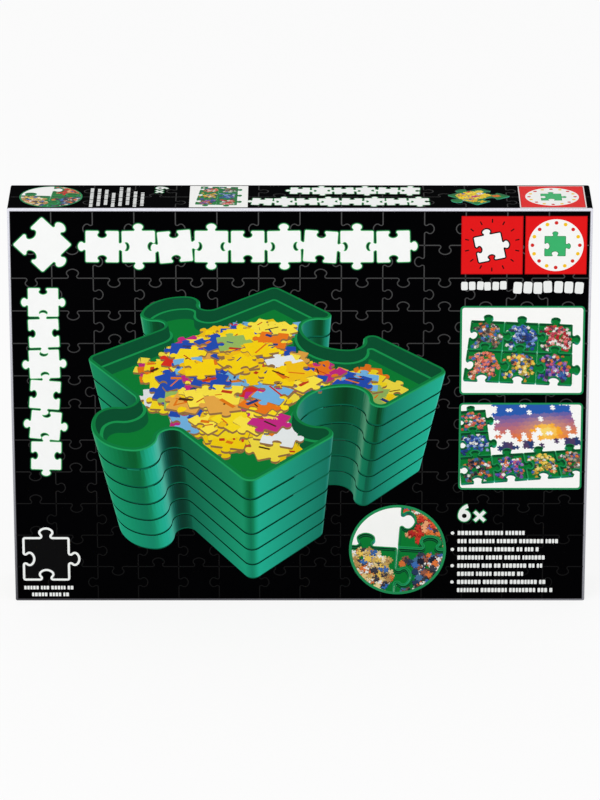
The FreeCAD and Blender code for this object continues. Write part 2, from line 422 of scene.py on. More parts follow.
# %% [markdown]
# The profile of the wall is a list of insets and heights, which walks from under the foot over the rim and
# down to the floor inside. A curve with an offset could give the rings as well, but in the hollow necks such
# an offset crosses itself. Rings that are drawn from the same arcs at every inset stay clean.

# %% Loft the trays
RIM, WALL, FLOOR, NEST_GAP = 20.0, 1.8, 1.5, 0.5
SHOULDER = 0.4 * RIM
LEDGE = SHOULDER + FLOOR
FOOT_INSET = WALL + NEST_GAP
WALL_PROFILE = [
    # foot
    (FOOT_INSET + 1.0, 0.0),
    (FOOT_INSET + 0.3, 0.3),
    (FOOT_INSET, 1.0),
    (FOOT_INSET, SHOULDER - 0.5),
    # shoulder
    (FOOT_INSET - 0.15, SHOULDER - 0.1),
    (0.45, SHOULDER),
    (0.12, SHOULDER + 0.12),
    (0.0, SHOULDER + 0.45),
    # outer wall and rim
    (0.0, RIM - 0.8),
    (0.2, RIM - 0.25),
    (0.65, RIM),
    (WALL - 0.65, RIM),
    (WALL - 0.2, RIM - 0.25),
    (WALL, RIM - 0.8),
    # inner wall and ledge
    (WALL, LEDGE + 0.6),
    (WALL + 0.2, LEDGE + 0.15),
    (WALL + 0.7, LEDGE),
    (FOOT_INSET + WALL - 0.5, LEDGE),
    (FOOT_INSET + WALL - 0.12, LEDGE - 0.12),
    # inside of the foot, down to the floor
    (FOOT_INSET + WALL, LEDGE - 0.5),
    (FOOT_INSET + WALL, FLOOR + 1.0),
    (FOOT_INSET + WALL + 0.3, FLOOR + 0.3),
    (FOOT_INSET + WALL + 1.0, FLOOR),
]


def build_tray(name):
    """A tray in the place of its node, open towards the front."""
    low, high = (Vector(corner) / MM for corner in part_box(name))
    centre = Vector((low.x + BODY / 2, high.y, low.z + BODY / 2))
    points = []
    for inset, height in WALL_PROFILE:
        points += [(centre.x + x, centre.y - height, centre.z + y) for x, y in jigsaw_outline(inset)]
    faces = loft(len(WALL_PROFILE), len(points) // len(WALL_PROFILE), clockwise=True)
    tray = add_piece(name + "_moulded", points, faces, "base", tray_green)
    smooth_folds(tray, 50.0)
    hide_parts(name)
    return len(faces)


tray_names = sorted(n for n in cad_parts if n.startswith("sorting_tray"))
print("tray faces:", {n: build_tray(n) for n in tray_names})

# %% [markdown]
# ## Print as fields of ink
#
# The print is made like a screen print: flat fields, each with its own edge, laid over one another. If the
# fields were stacked as separate sheets they would flicker and waste faces. Instead a constrained Delaunay
# triangulation cuts all fields of one picture along each other's edges, and for each triangle only the
# nearest field is kept. A field is its outline, its ink and its depth, and an ink may be a function of the
# place, so that it can fade.


# %% Coated print
def coated_print():
    """Ink under a clear coat, with the same tooth as the paper that it is printed on."""
    material, tree, shader = new_material("coated_print")
    place = node(tree, "ShaderNodeTexCoord").outputs["Object"]
    colour = node(tree, "ShaderNodeAttribute", attribute_name="ink").outputs["Vector"]
    cloud = node(tree, "ShaderNodeTexNoise", {"Vector": place, "Scale": 90.0, "Detail": 4.0})
    fade = node(tree, "ShaderNodeMapRange", {"Value": cloud.outputs[0], "To Min": 0.96, "To Max": 1.0})
    faded = {0: colour, "Scale": fade.outputs[0]}
    scaled = node(tree, "ShaderNodeVectorMath", faded, operation="SCALE")
    tree.links.new(scaled.outputs[0], shader.inputs["Base Color"])
    paper_surface(tree, shader, place, 0.2)
    cloudy_gloss(tree, shader, cloud, 0.42, 0.52)
    shader.inputs["Specular IOR Level"].default_value = 0.06
    print("coated_print: roughness 0.42 to 0.52")
    return material


print_coat = coated_print()


# %% [markdown]
# Two small tests decide which field shows at a place. A field of any shape covers it if a line from there
# crosses the outline an odd number of times. The sheet that clips a scene is convex, so there it is enough to
# be on the inner side of every edge.


# %% Which field covers a place
def depth_at(depth, u, v):
    """A field lies at one depth, or on a slanted plane (a, b, c) of a drawn solid."""
    return depth[0] * u + depth[1] * v + depth[2] if isinstance(depth, tuple) else depth


def covers(outline, box, u, v):
    """Whether a point is inside any outline, by counting the edges to one side of it."""
    if not (box[0] <= u <= box[2] and box[1] <= v <= box[3]):
        return False
    inside = False
    from_u, from_v = outline[-1]
    for to_u, to_v in outline:
        if (to_v > v) != (from_v > v) and u < to_u + (v - to_v) * (from_u - to_u) / (from_v - to_v):
            inside = not inside
        from_u, from_v = to_u, to_v
    return inside


def holds(outline, u, v):
    """Whether a point is inside a convex, counter-clockwise outline."""
    pairs = zip(outline, outline[1:] + outline[:1])
    return all((b[0] - a[0]) * (v - a[1]) >= (b[1] - a[1]) * (u - a[0]) for a, b in pairs)


unit_square = [(0, 0), (1, 0), (1, 1), (0, 1)]
print("middle and outside of a square:", holds(unit_square, 0.5, 0.5), holds(unit_square, 1.5, 0.5))

# %% Cut the fields along each other's edges
WHOLE_HULL, INSIDE_ONLY = 0, 1
NOTHING = -1


def overlay(fields, clip=None):
    """The fields cut along each other's edges: points, triangles, and the nearest field of each triangle.

    A field only a hair wide can be said to cover more than it does, so its own outline is asked as well.
    """
    corners, outlines = [], []
    boxes = [[min(x) for x in zip(*f[0])] + [max(x) for x in zip(*f[0])] for f in fields]
    for points in [f[0] for f in fields] + ([clip] if clip else []):
        outlines.append(list(range(len(corners), len(corners) + len(points))))
        corners += [Vector(p) for p in points]
    flat, _, cut, _, _, owners = delaunay_2d_cdt(corners, [], outlines, INSIDE_ONLY, 1e-4)
    triangles, nearest = [], []
    for triangle, covering in zip(cut, owners):
        u = sum(flat[i][0] for i in triangle) / 3
        v = sum(flat[i][1] for i in triangle) / 3
        if clip and not holds(clip, u, v):
            continue
        covering = sorted((depth_at(fields[f][2], u, v), f) for f in covering if f < len(fields))
        front = next((f for _, f in covering if covers(fields[f][0], boxes[f], u, v)), None)
        if front is not None:
            triangles.append(triangle)
            nearest.append(front)
    return flat, triangles, nearest


two_boxes = [([(0, 0), (2, 0), (2, 2), (0, 2)], None, 2.0), ([(1, 1), (3, 1), (3, 3), (1, 3)], None, 1.0)]
print("two crossed boxes are cut into triangles of fields", overlay(two_boxes)[2])

# %% [markdown]
# The cut leaves many thin triangles where hidden edges crossed. What shows is only where two different fields
# meet, so those seams are kept, points that lie straight on them are dropped, and the seams alone are
# triangulated again. Each new triangle beside a seam knows its field from it, and the fields flow from there
# into the triangles behind. The main picture needs under a twentieth of its faces that way.


# %% Find and straighten the seams between fields
def seams_of(triangles, owners):
    """Each directed edge between two different owners, with the owner on its left, or NOTHING outside."""
    left = {}
    for triangle, owner in zip(triangles, owners):
        for k in range(3):
            left[(triangle[k], triangle[(k + 1) % 3])] = owner
    seams = {}
    for (a, b), owner in left.items():
        other = left.get((b, a), NOTHING)
        if other != owner:
            seams[(a, b)] = owner
            seams[(b, a)] = other
    return seams


def straighten(flat, seams, limit=0.01):
    """Points where a seam only runs straight on are taken out of it."""
    beside = {}
    for a, b in seams:
        beside.setdefault(a, set()).add(b)
    for here in list(beside):
        if len(beside[here]) != 2:
            continue
        before, after = beside[here]
        first, second = flat[here] - flat[before], flat[after] - flat[here]
        slim = abs(first.cross(second)) <= limit * first.length * second.length
        onward = first.dot(second) > 0
        same_left = seams[(before, here)] == seams[(here, after)]
        same_right = seams[(here, before)] == seams[(after, here)]
        if not (slim and onward and same_left and same_right) or after in beside[before]:
            continue
        seams[(before, after)] = seams.pop((before, here))
        seams[(after, before)] = seams.pop((here, before))
        del seams[(here, after)], seams[(after, here)], beside[here]
        for end, other in ((before, after), (after, before)):
            beside[end].discard(here)
            beside[end].add(other)
    return seams


pair = seams_of([(0, 1, 2), (0, 2, 3)], [5, 6])
print("seams round two triangles, both ways:", len(pair))


# %% Triangulate the seams and let the fields flow in
def spread_owners(faces, known):
    """The owner of each triangle, from the seams that it touches and then from its neighbours."""
    beyond = {}
    for n, face in enumerate(faces):
        for k in range(3):
            beyond[(face[(k + 1) % 3], face[k])] = n
    held = [None] * len(faces)
    waiting = []
    for n, face in enumerate(faces):
        for k in range(3):
            edge = (face[k], face[(k + 1) % 3])
            if edge in known and held[n] is None:
                held[n] = known[edge]
                waiting.append(n)
    while waiting:
        n = waiting.pop()
        for k in range(3):
            edge = (faces[n][k], faces[n][(k + 1) % 3])
            other = beyond.get(edge)
            if edge not in known and other is not None and held[other] is None:
                held[other] = held[n]
                waiting.append(other)
    return held


def merge_within_fields(flat, triangles, owners):
    """The same picture with far fewer triangles: points, triangles, and the owner of each triangle."""
    seams = straighten(flat, seams_of(triangles, owners))
    used = sorted({i for seam in seams for i in seam})
    place = {i: n for n, i in enumerate(used)}
    lines = [(place[a], place[b]) for a, b in seams if a < b]
    points, _, faces, _, _, _ = delaunay_2d_cdt([flat[i] for i in used], lines, [], WHOLE_HULL, 1e-6)
    known = {(place[a], place[b]): owner for (a, b), owner in seams.items()}
    held = spread_owners(faces, known)
    kept = [(face, owner) for face, owner in zip(faces, held) if owner not in (None, NOTHING)]
    numbers = sorted({i for face, _ in kept for i in face})
    fresh = {i: n for n, i in enumerate(numbers)}
    triangles = [tuple(fresh[i] for i in face) for face, _ in kept]
    return [points[i] for i in numbers], triangles, [owner for _, owner in kept]


print("two triangles that flow together:", spread_owners([(0, 1, 2), (0, 2, 3)], {(0, 1): 5}))

# %% [markdown]
# A flat picture becomes a film just off its panel. Its rim is turned down to the card, so that no gap shows
# from the side. Films that overlap lie at their own heights: the lines of the ground lowest, then pictures,
# notes and scenes. The inks are stored on the corners of the faces, and a UV map that lies flat over the
# panel gives each ink its own place on the map.

# %% Panels and the heights of films
PANELS = {
    "front": (Vector((0, FRONT, 0)), Vector((1, 0, 0)), Vector((0, 0, 1))),
    "top": (Vector((0, 0, TOP)), Vector((1, 0, 0)), Vector((0, 1, 0))),
    "right": (Vector((HALF_WIDTH, 0, 0)), Vector((0, 1, 0)), Vector((0, 0, 1))),
    "left": (Vector((-HALF_WIDTH, 0, 0)), Vector((0, -1, 0)), Vector((0, 0, 1))),
}
FILM = 0.03
LINE_LIFT, GROUND_LIFT, PICTURE_LIFT, NOTE_LIFT, SCENE_LIFT = 0.035, 0.05, 0.08, 0.12, 0.16
print(f"the highest film is {PRINT_ROOM - SCENE_LIFT:.2f} mm inside the CAD box")


# %% Turn a picture into a film on its panel
def turn_rim_down(points, faces, inks, drop):
    """Adds a strip of faces that goes from the film's rim down to the card, in the rim's inks."""
    rim = {}
    for n, face in enumerate(faces):
        for k in range(3):
            rim[(face[k], face[(k + 1) % 3])] = inks[3 * n + k]
    edge = [(a, b) for a, b in rim if (b, a) not in rim]
    below = {}
    for a in sorted({i for pair in edge for i in pair}):
        below[a] = len(points)
        points.append(points[a] - drop)
    for a, b in edge:
        faces.append((b, a, below[a], below[b]))
        inks += [rim[(a, b)]] * 4


def add_bake_map(film, seen, low, span):
    """A UV map over the panel's own plane, from the picture's low corner to its high one."""
    spots = []
    for loop in film.data.loops:
        u, v = seen[loop.vertex_index]
        spots += [(u - low[0]) / span[0], (v - low[1]) / span[1]]
    film.data.uv_layers.new(name="OFBake").uv.foreach_set("vector", spots)


def print_film(name, fields, panel="front", lift=GROUND_LIFT, clip=None):
    """A picture as a film a little above its panel, with its rim turned down to the card."""
    flat, triangles, nearest = overlay(fields, clip)
    first = {}
    alike = [first.setdefault(f[1], n) if isinstance(f[1], tuple) else n for n, f in enumerate(fields)]
    flat, faces, owners = merge_within_fields(flat, triangles, [alike[n] for n in nearest])
    origin, across, up = PANELS[panel]
    out = across.cross(up)
    points = [origin + across * p.x + up * p.y + out * lift for p in flat]
    inks = []
    for face, owner in zip(faces, owners):
        colour = fields[owner][1]
        inks += [colour(*flat[i]) if callable(colour) else colour for i in face]
    turn_rim_down(points, faces, inks, out * FILM)
    film = add_piece(name, points, faces, "lid", print_coat)
    store = film.data.attributes.new("ink", "FLOAT_COLOR", "CORNER")
    store.data.foreach_set("color", [c for rgb in inks for c in (*rgb, 1.0)])
    low = [min(p[i] for p in flat) for i in range(2)]
    span = [max(p[i] for p in flat) - low[i] for i in range(2)]
    seen = [((q - origin).dot(across), (q - origin).dot(up)) for q in points]
    add_bake_map(film, seen, low, span)
    print(f"{name}: {len(fields)} fields, {len(faces)} faces")
    return film


# %% [markdown]
# ## Jigsaw lines behind the print
#
# The black ground shows the cut of a large jigsaw in thin grey lines that fade out downwards. One cut edge is
# a short ribbon with a knob in it. Geometry Nodes repeat it: one grid of points carries the level edges, a
# second the upright ones, and a random half turn throws each knob to one side or the other. The tree also
# stores the ink by height, so the fade is in the mesh.


# %% One cut edge as a ribbon
LINE_WIDTH = 0.72


def cut_edge(length, width, step=24):
    """A flat ribbon along X whose middle bulges into a knob, as points and faces."""
    scale = length / BODY
    run = [(-BODY / 2, 0.0)] + knob_points(0.0, step) + [(BODY / 2, 0.0)]
    path = [Vector((x * scale, y * scale)) for x, y in run]
    points, faces = [], []
    for i, here in enumerate(path):
        before, after = path[max(i - 1, 0)], path[min(i + 1, len(path) - 1)]
        along = (after - before).normalized()
        side = Vector((-along.y, along.x)) * (width / 2)
        points += [(*(here - side), 0), (*(here + side), 0)]
    for i in range(len(path) - 1):
        a = 2 * i
        faces.append((a, a + 2, a + 3, a + 1))
    return points, faces


print("one cut edge:", len(cut_edge(BODY, LINE_WIDTH)[1]), "faces")


# %% One grid of cut edges
def grid_of_edges(tree, edge, sizes, upright, seed):
    """Points of one grid with the edge on each, thrown to a random side."""
    columns, rows, cell_x, cell_y = sizes
    across = node(tree, "ShaderNodeMath", {0: columns, 1: -2.0 if upright else -1.0}, operation="ADD")
    down = node(tree, "ShaderNodeMath", {0: rows, 1: -1.0 if upright else -2.0}, operation="ADD")
    size_x = node(tree, "ShaderNodeMath", {0: across.outputs[0], 1: cell_x}, operation="MULTIPLY")
    size_y = node(tree, "ShaderNodeMath", {0: down.outputs[0], 1: cell_y}, operation="MULTIPLY")
    count_x = node(tree, "ShaderNodeMath", {0: across.outputs[0], 1: 1.0}, operation="ADD")
    count_y = node(tree, "ShaderNodeMath", {0: down.outputs[0], 1: 1.0}, operation="ADD")
    extents = {"Size X": size_x.outputs[0], "Size Y": size_y.outputs[0]}
    counts = {"Vertices X": count_x.outputs[0], "Vertices Y": count_y.outputs[0]}
    grid = node(tree, "GeometryNodeMeshGrid", {**extents, **counts})
    half_turn = node(tree, "FunctionNodeRandomValue", {"Probability": 0.5, "Seed": seed}, data_type="BOOLEAN")
    one_way = math.pi / 2 if upright else 0.0
    ways = {"Value": half_turn.outputs[3], "To Min": one_way, "To Max": one_way + math.pi}
    turn = node(tree, "ShaderNodeMapRange", ways)
    rotation = node(tree, "ShaderNodeCombineXYZ", {"Z": turn.outputs[0]})
    share = node(tree, "ShaderNodeMath", {0: cell_y if upright else cell_x, 1: cell_x}, operation="DIVIDE")
    scale = node(tree, "ShaderNodeCombineXYZ", {"X": share.outputs[0], "Y": 1.0, "Z": 1.0})
    copies = {"Points": grid.outputs["Mesh"], "Instance": edge}
    pose = {"Rotation": rotation.outputs[0], "Scale": scale.outputs[0]}
    return node(tree, "GeometryNodeInstanceOnPoints", {**copies, **pose}).outputs[0]


# %% [markdown]
# The whole tree joins the level edges and the upright ones, makes the copies real, stores a grey that fades
# with the height, and sets the material. Its sizes, inks and seed are named inputs, so that the front, the
# top and the sides share one tree.

# %% The whole tree
OTHER_SEED = 7.0
FADE_FROM = -0.55


def ink_by_height(tree, rows, cell_height, low_ink, top_ink):
    """A grey that rises from one ink to the other between the lower half's middle and the top."""
    place = node(tree, "ShaderNodeSeparateXYZ", {0: node(tree, "GeometryNodeInputPosition").outputs[0]})
    whole = node(tree, "ShaderNodeMath", {0: rows, 1: cell_height}, operation="MULTIPLY")
    reach = node(tree, "ShaderNodeMath", {0: whole.outputs[0], 1: 0.5}, operation="MULTIPLY")
    low = node(tree, "ShaderNodeMath", {0: reach.outputs[0], 1: FADE_FROM}, operation="MULTIPLY")
    heights = {"Value": place.outputs["Y"], "From Min": low.outputs[0], "From Max": reach.outputs[0]}
    grey = node(tree, "ShaderNodeMapRange", {**heights, "To Min": low_ink, "To Max": top_ink})
    return node(tree, "FunctionNodeCombineColor", {i: grey.outputs[0] for i in range(3)}).outputs[0]


def cut_line_tree():
    tree = bpy.data.node_groups.new("jigsaw_cut_lines", "GeometryNodeTree")
    sockets = tree.interface.new_socket
    sockets("Cut edge", in_out="INPUT", socket_type="NodeSocketGeometry")
    for name in ("Columns", "Rows", "Seed"):
        sockets(name, in_out="INPUT", socket_type="NodeSocketInt")
    for name in ("Cell width", "Cell height", "Ink at the top", "Ink at the bottom"):
        sockets(name, in_out="INPUT", socket_type="NodeSocketFloat")
    sockets("Finish", in_out="INPUT", socket_type="NodeSocketMaterial")
    sockets("Lines", in_out="OUTPUT", socket_type="NodeSocketGeometry")
    start = node(tree, "NodeGroupInput").outputs
    sizes = (start["Columns"], start["Rows"], start["Cell width"], start["Cell height"])
    level = grid_of_edges(tree, start["Cut edge"], sizes, False, start["Seed"])
    other_seed = node(tree, "ShaderNodeMath", {0: start["Seed"], 1: OTHER_SEED}, operation="ADD").outputs[0]
    upright = grid_of_edges(tree, start["Cut edge"], sizes, True, other_seed)
    joined = tree.nodes.new("GeometryNodeJoinGeometry")
    tree.links.new(upright, joined.inputs[0])
    tree.links.new(level, joined.inputs[0])
    plain = node(tree, "GeometryNodeRealizeInstances", {0: joined.outputs[0]})
    inks = (start["Ink at the bottom"], start["Ink at the top"])
    tone = ink_by_height(tree, start["Rows"], start["Cell height"], *inks)
    stored = {"Geometry": plain.outputs[0], "Name": "ink", "Value": tone}
    kind = {"data_type": "FLOAT_COLOR", "domain": "POINT"}
    store = node(tree, "GeometryNodeStoreNamedAttribute", stored, **kind)
    done = node(tree, "GeometryNodeSetMaterial", {"Geometry": store.outputs[0], "Material": start["Finish"]})
    node(tree, "NodeGroupOutput", {0: done.outputs[0]})
    print(f"{tree.name}: {len(tree.nodes)} nodes")
    return tree


cut_tree = cut_line_tree()


# %% Lines on a panel
def cut_lines(name, panel, middle, cells, cell, inks, seed):
    """The tree's lines as a plain mesh on a panel, in front of the wrap and behind all other print."""
    points, faces = cut_edge(cell[0], LINE_WIDTH)
    lines = add_piece(name, points, faces, "lid", print_coat)
    lines.data.transform(Matrix.Scale(1 / MM, 4))
    weave = lines.modifiers.new("cut_lines", "NODES")
    weave.node_group = cut_tree
    values = {
        "Columns": cells[0],
        "Rows": cells[1],
        "Seed": seed,
        "Cell width": cell[0],
        "Cell height": cell[1],
        "Ink at the top": inks[0],
        "Ink at the bottom": inks[1],
        "Finish": print_coat,
    }
    for item in cut_tree.interface.items_tree:
        if item.in_out == "INPUT" and item.name in values:
            weave[item.identifier] = values[item.name]
    evaluated = lines.evaluated_get(bpy.context.evaluated_depsgraph_get())
    done = bpy.data.meshes.new_from_object(evaluated)
    lines.modifiers.remove(weave)
    origin, across, up = PANELS[panel]
    out = across.cross(up)
    place = Matrix((across, up, out)).transposed().to_4x4()
    place.translation = origin + across * middle[0] + up * middle[1] + out * LINE_LIFT
    done.transform(Matrix.Scale(MM, 4) @ place)
    lines.data = done
    print(f"{name}: {len(done.polygons)} faces")


TOP_GREY, LOW_GREY = ink(74, 76, 80)[0], ink(12, 12, 14)[0]
CELL_WIDTH, CELL_HEIGHT, SIDE_CELL = 26.2, 22.1, 21.6
front_cell, side_cell, top_cell = (CELL_WIDTH, CELL_HEIGHT), (SIDE_CELL, CELL_HEIGHT), (CELL_WIDTH, SIDE_CELL)
fading = (TOP_GREY, LOW_GREY)
cut_lines("cut_lines_front", "front", (0, TOP / 2), (14, 12), front_cell, fading, seed=5)
cut_lines("cut_lines_top", "top", (0, -0.4), (14, 2), top_cell, (LOW_GREY, LOW_GREY * 0.8), seed=8)
cut_lines("cut_lines_left", "left", (0, TOP / 2), (2, 12), side_cell, fading, seed=9)
cut_lines("cut_lines_right", "right", (0, TOP / 2), (2, 12), side_cell, fading, seed=10)

# %% [markdown]
# ## Shapes that the print uses
#
# The print repeats a few plain shapes: boxes with rounded corners, discs, strokes and small jigsaw pieces.
# Each returns points on the panel, in millimetres from the middle of the front's bottom edge.


# %% Printed shapes
def rounded_box(x0, y0, x1, y1, radius=0.0, step=15):
    """A box with rounded corners, counter-clockwise."""
    if radius <= 0:
        return [(x0, y0), (x1, y0), (x1, y1), (x0, y1)]
    low_x, low_y, high_x, high_y = x0 + radius, y0 + radius, x1 - radius, y1 - radius
    middles = [(high_x, high_y), (low_x, high_y), (low_x, low_y), (high_x, low_y)]
    points = []
    for quarter, middle in enumerate(middles):
        points += arc(middle, radius, 90 * quarter, 90 * (quarter + 1), step)
    return points


def disc(x, y, radius, step=6):
    """A round field, its step given in degrees."""
    return arc((x, y), radius, 0, 360, step)[:-1]


def stroke(x0, y0, x1, y1, width):
    """A straight line with some width."""
    along = Vector((x1 - x0, y1 - y0)).normalized() * (width / 2)
    side = Vector((-along.y, along.x))
    a, b = Vector((x0, y0)), Vector((x1, y1))
    return [tuple(a - side), tuple(b - side), tuple(b + side), tuple(a + side)]


def small_piece(x, y, body, turn=0.0, inset=0.0, step=18, sides=TRAY_SIDES):
    """A jigsaw piece of a given body size, turned by some degrees. The inset is in its own millimetres."""
    scale = body / BODY
    turning = Matrix.Rotation(math.radians(turn), 2)
    outline = jigsaw_outline(inset / scale, step, sides)
    return [tuple(turning @ Vector(p) * scale + Vector((x, y))) for p in outline]


def halo_piece(x, y, body, turn=0.0, sides=TRAY_SIDES, glow=1.1):
    """A white piece with a green glow round it, drawn as rings that darken outwards."""
    tones = [ink(3, 30, 18), ink(8, 70, 40), ink(26, 138, 76), ink(120, 205, 130)]
    fields = []
    for i, tone in enumerate(tones):
        grown = -glow * (1 - i / len(tones))
        fields.append((small_piece(x, y, body, turn, grown, sides=sides), tone, 10.0 - i))
    fields.append((small_piece(x, y, body, turn, 0.0, sides=sides), ink(250, 251, 250), 1.0))
    return fields


print("points of a small piece:", len(small_piece(0, 0, 20)))
print("fields of a piece with its halo:", len(halo_piece(0, 0, 20)))


# %% [markdown]
# ## Solids drawn flat
#
# The pictures on the box show trays and heaps of pieces. Each face of each solid is projected through one eye
# point, and faces turned away are dropped. For any flat face, one over the distance is a flat function of the
# place in the picture, so three numbers keep its depth, and the overlay can show the nearest face.


# %% A drawing of solids
def mix(a, b, share):
    share = min(1.0, max(0.0, share))
    return tuple(x + (y - x) * share for x, y in zip(a, b))


def ramp(first, last, u_first, u_last):
    """An ink that changes evenly between two places across a picture."""
    return lambda u, v: mix(first, last, (u - u_first) / (u_last - u_first))


BEFORE_ALL_SHEETS = 10000.0
FLATTEST_VIEW = 0.03


class Drawing:
    """Faces of solids as fields of ink, seen from some way round, some way up and some way off."""

    def __init__(self, azimuth, elevation, distance):
        a, e = math.radians(azimuth), math.radians(elevation)
        self.right = Vector((math.cos(a), math.sin(a), 0))
        away = Vector((-math.sin(a), math.cos(a), 0))
        self.up = away * math.sin(e) + Vector((0, 0, math.cos(e)))
        self.depth = away * math.cos(e) - Vector((0, 0, math.sin(e)))
        self.distance = distance
        self.fields = []

    def seen(self, point):
        """Where a point shows in the picture, and its depth there."""
        share = self.distance / (self.distance + point.dot(self.depth))
        return Vector((point.dot(self.right) * share, point.dot(self.up) * share, -self.distance * share))

    def add(self, points, colour):
        """A flat face in one ink, or in a pair of inks that run from its first point to its second."""
        seen = [self.seen(p) for p in points]
        middle = sum(seen, Vector((0, 0, 0))) / len(seen)
        spokes = [s - middle for s in seen]
        pairs = list(zip(spokes, spokes[1:] + spokes[:1]))
        normal = sum((a.cross(b) for a, b in pairs), Vector((0, 0, 0)))
        around = sum((a - b).length for a, b in pairs)
        if normal.z < FLATTEST_VIEW * around:
            return
        if len(colour) == 2:
            colour = (*colour, seen[0].x, seen[1].x)
        slope = (-normal.x / normal.z, -normal.y / normal.z)
        rest = middle.z - slope[0] * middle.x - slope[1] * middle.y
        self.fields.append(([(s.x, s.y) for s in seen], colour, (*slope, rest)))

    def placed(self, scale, x, y, focus=(0, 0)):
        """The fields at a scale, with one place of the drawing put at a place on the panel."""
        ox, oy = x - focus[0] * scale, y - focus[1] * scale
        placed = []
        for points, colour, (a, b, c) in self.fields:
            moved = [(u * scale + ox, v * scale + oy) for u, v in points]
            if len(colour) == 4:
                colour = ramp(*colour[:2], colour[2] * scale + ox, colour[3] * scale + ox)
            plane = (a / scale, b / scale, c - a * ox / scale - b * oy / scale - BEFORE_ALL_SHEETS)
            placed.append((moved, colour, plane))
        return placed

    def fitted(self, x0, y0, x1, y1):
        """The fields scaled and moved to fill a box on the panel."""
        us = [p[0] for f in self.fields for p in f[0]]
        vs = [p[1] for f in self.fields for p in f[0]]
        scale = min((x1 - x0) / (max(us) - min(us)), (y1 - y0) / (max(vs) - min(vs)))
        focus = ((max(us) + min(us)) / 2, (max(vs) + min(vs)) / 2)
        return self.placed(scale, (x0 + x1) / 2, (y0 + y1) / 2, focus)


far_and_near = [Drawing(0, 90, 1000).seen(Vector((100, 0, z))).x for z in (-500, 500)]
print("100 mm, seen from above at 1500 and at 500:", [round(width) for width in far_and_near])


# %% [markdown]
# Moulded walls take the light by where they face: pale teal to the right, deep green in front, and nearly
# black in the necks of the knobs. Each upright of a wall gets its own ink, and the ink runs evenly from one
# upright to the next, so that round corners look round with few faces.

# %% Inks of a tray's walls
SHADE, TEAL, SEAM = ink(0, 20, 16), ink(30, 182, 152), ink(0, 92, 66)
LOW_TEAL, TEAL_REACH = 0.4, 70
WALL_STOPS = [
    (-1.0, ink(110, 196, 150)),
    (-0.85, ink(24, 144, 98)),
    (-0.45, ink(8, 122, 72)),
    (-0.1, ink(0, 86, 40)),
    (0.15, ink(4, 112, 58)),
    (0.45, ink(22, 162, 124)),
    (0.8, ink(38, 184, 158)),
    (1.0, ink(98, 212, 188)),
]


def along_stops(stops, value):
    """The ink at a value between the nearest two of some stops."""
    for (low, first), (high, last) in zip(stops, stops[1:]):
        if value <= high:
            return mix(first, last, (value - low) / (high - low))
    return stops[-1][1]


def hollow_shade(x, y):
    """How dark a wall lies: deep in a socket, or in the neck of a knob."""
    out, along = max(abs(x), abs(y)) - BODY / 2, min(abs(x), abs(y))
    if out > 0.5:
        return 0.92 * math.exp(-(((out - 5) / 9) ** 2))
    if out > -2.0:
        return 0.6 * math.exp(-(((along - 24) / 16) ** 2))
    return 0.3 + 0.3 * min(1.0, -out / 18)


def wall_inks(drawing, outline, height):
    """One ink for each upright of a wall, with more teal the lower it stands."""
    inks = []
    for i, (x, y) in enumerate(outline):
        before, after = outline[i - 1], outline[(i + 1) % len(outline)]
        outward = Vector((after[1] - before[1], before[0] - after[0], 0)).normalized()
        tone = along_stops(WALL_STOPS, outward.dot(drawing.right))
        tone = mix(tone, TEAL, LOW_TEAL * (1 - height / TEAL_REACH))
        inks.append(mix(tone, SHADE, hollow_shade(x, y)))
    return inks


print("inks round one wall:", len(wall_inks(Drawing(-131, 43, 440), jigsaw_outline(0.0, 12), 0.0)))


# %% Draw a tray
def ring(x, y, z, inset, step, sides):
    """A tray's outline at one height, set in by some millimetres."""
    return [Vector((x + px, y + py, z)) for px, py in jigsaw_outline(inset, step, sides)]


def draw_band(drawing, low, high, tones):
    """The faces between two closed rings, in one ink or in a list with one for each point."""
    for i in range(len(low)):
        j = (i + 1) % len(low)
        tone = (tones[i], tones[j]) if isinstance(tones, list) else tones
        drawing.add([low[i], low[j], high[j], high[i]], tone)


def draw_wall(drawing, x, y, z, step, height, seam=0.0, sides=TRAY_SIDES):
    """The outside of one tray, down to the dark seam where it sits in the next."""
    tones = wall_inks(drawing, jigsaw_outline(0.0, step, sides), z)
    foot = ring(x, y, z + seam, 0.0, step, sides)
    if seam:
        draw_band(drawing, ring(x, y, z, 0.6, step, sides), foot, SEAM)
    draw_band(drawing, foot, ring(x, y, z + height, 0.0, step, sides), tones)


def draw_open_top(drawing, x, y, z, step, rim=1.9, contrast=0.0, sides=TRAY_SIDES):
    """The rim, the stepped inner wall and the floor, for a tray whose rim is at z.

    In a small scene the rim is broader and the inner walls darker, so that they still show.
    """
    levels = [
        (0.0, 0.0, None),
        (0.8, 0.5, mix(ink(30, 158, 92), SHADE, contrast)),
        (0.8, 0.5 + rim, mix(ink(6, 120, 60), ink(30, 156, 84), contrast)),
        (-8.0, 1.0 + rim, mix(ink(0, 76, 44), SHADE, contrast)),
        (-8.2, 2.9 + rim, mix(ink(18, 142, 74), ink(0, 96, 50), contrast)),
        (-16.0, 3.0 + rim, mix(ink(0, 88, 48), SHADE, contrast)),
    ]
    rings = [ring(x, y, z + height, inset, step, sides) for height, inset, _ in levels]
    for low, high, (_, _, tone) in zip(rings, rings[1:], levels[1:]):
        draw_band(drawing, low, high, tone)
    drawing.add(rings[-1], ink(2, 120, 48))


trial = Drawing(-131, 43, 440)
draw_open_top(trial, 0, 0, RIM, step=12)
print("faces of one open top that can be seen:", len(trial.fields))

# %% [markdown]
# A heap is many small pieces, thrown at random places where the tray has room and laid a little aslant, the
# later ones higher. Large ones get thick cut edges and printed marks. In the small scenes a piece is only a
# few pixels wide, so it has twenty points and a shadow.

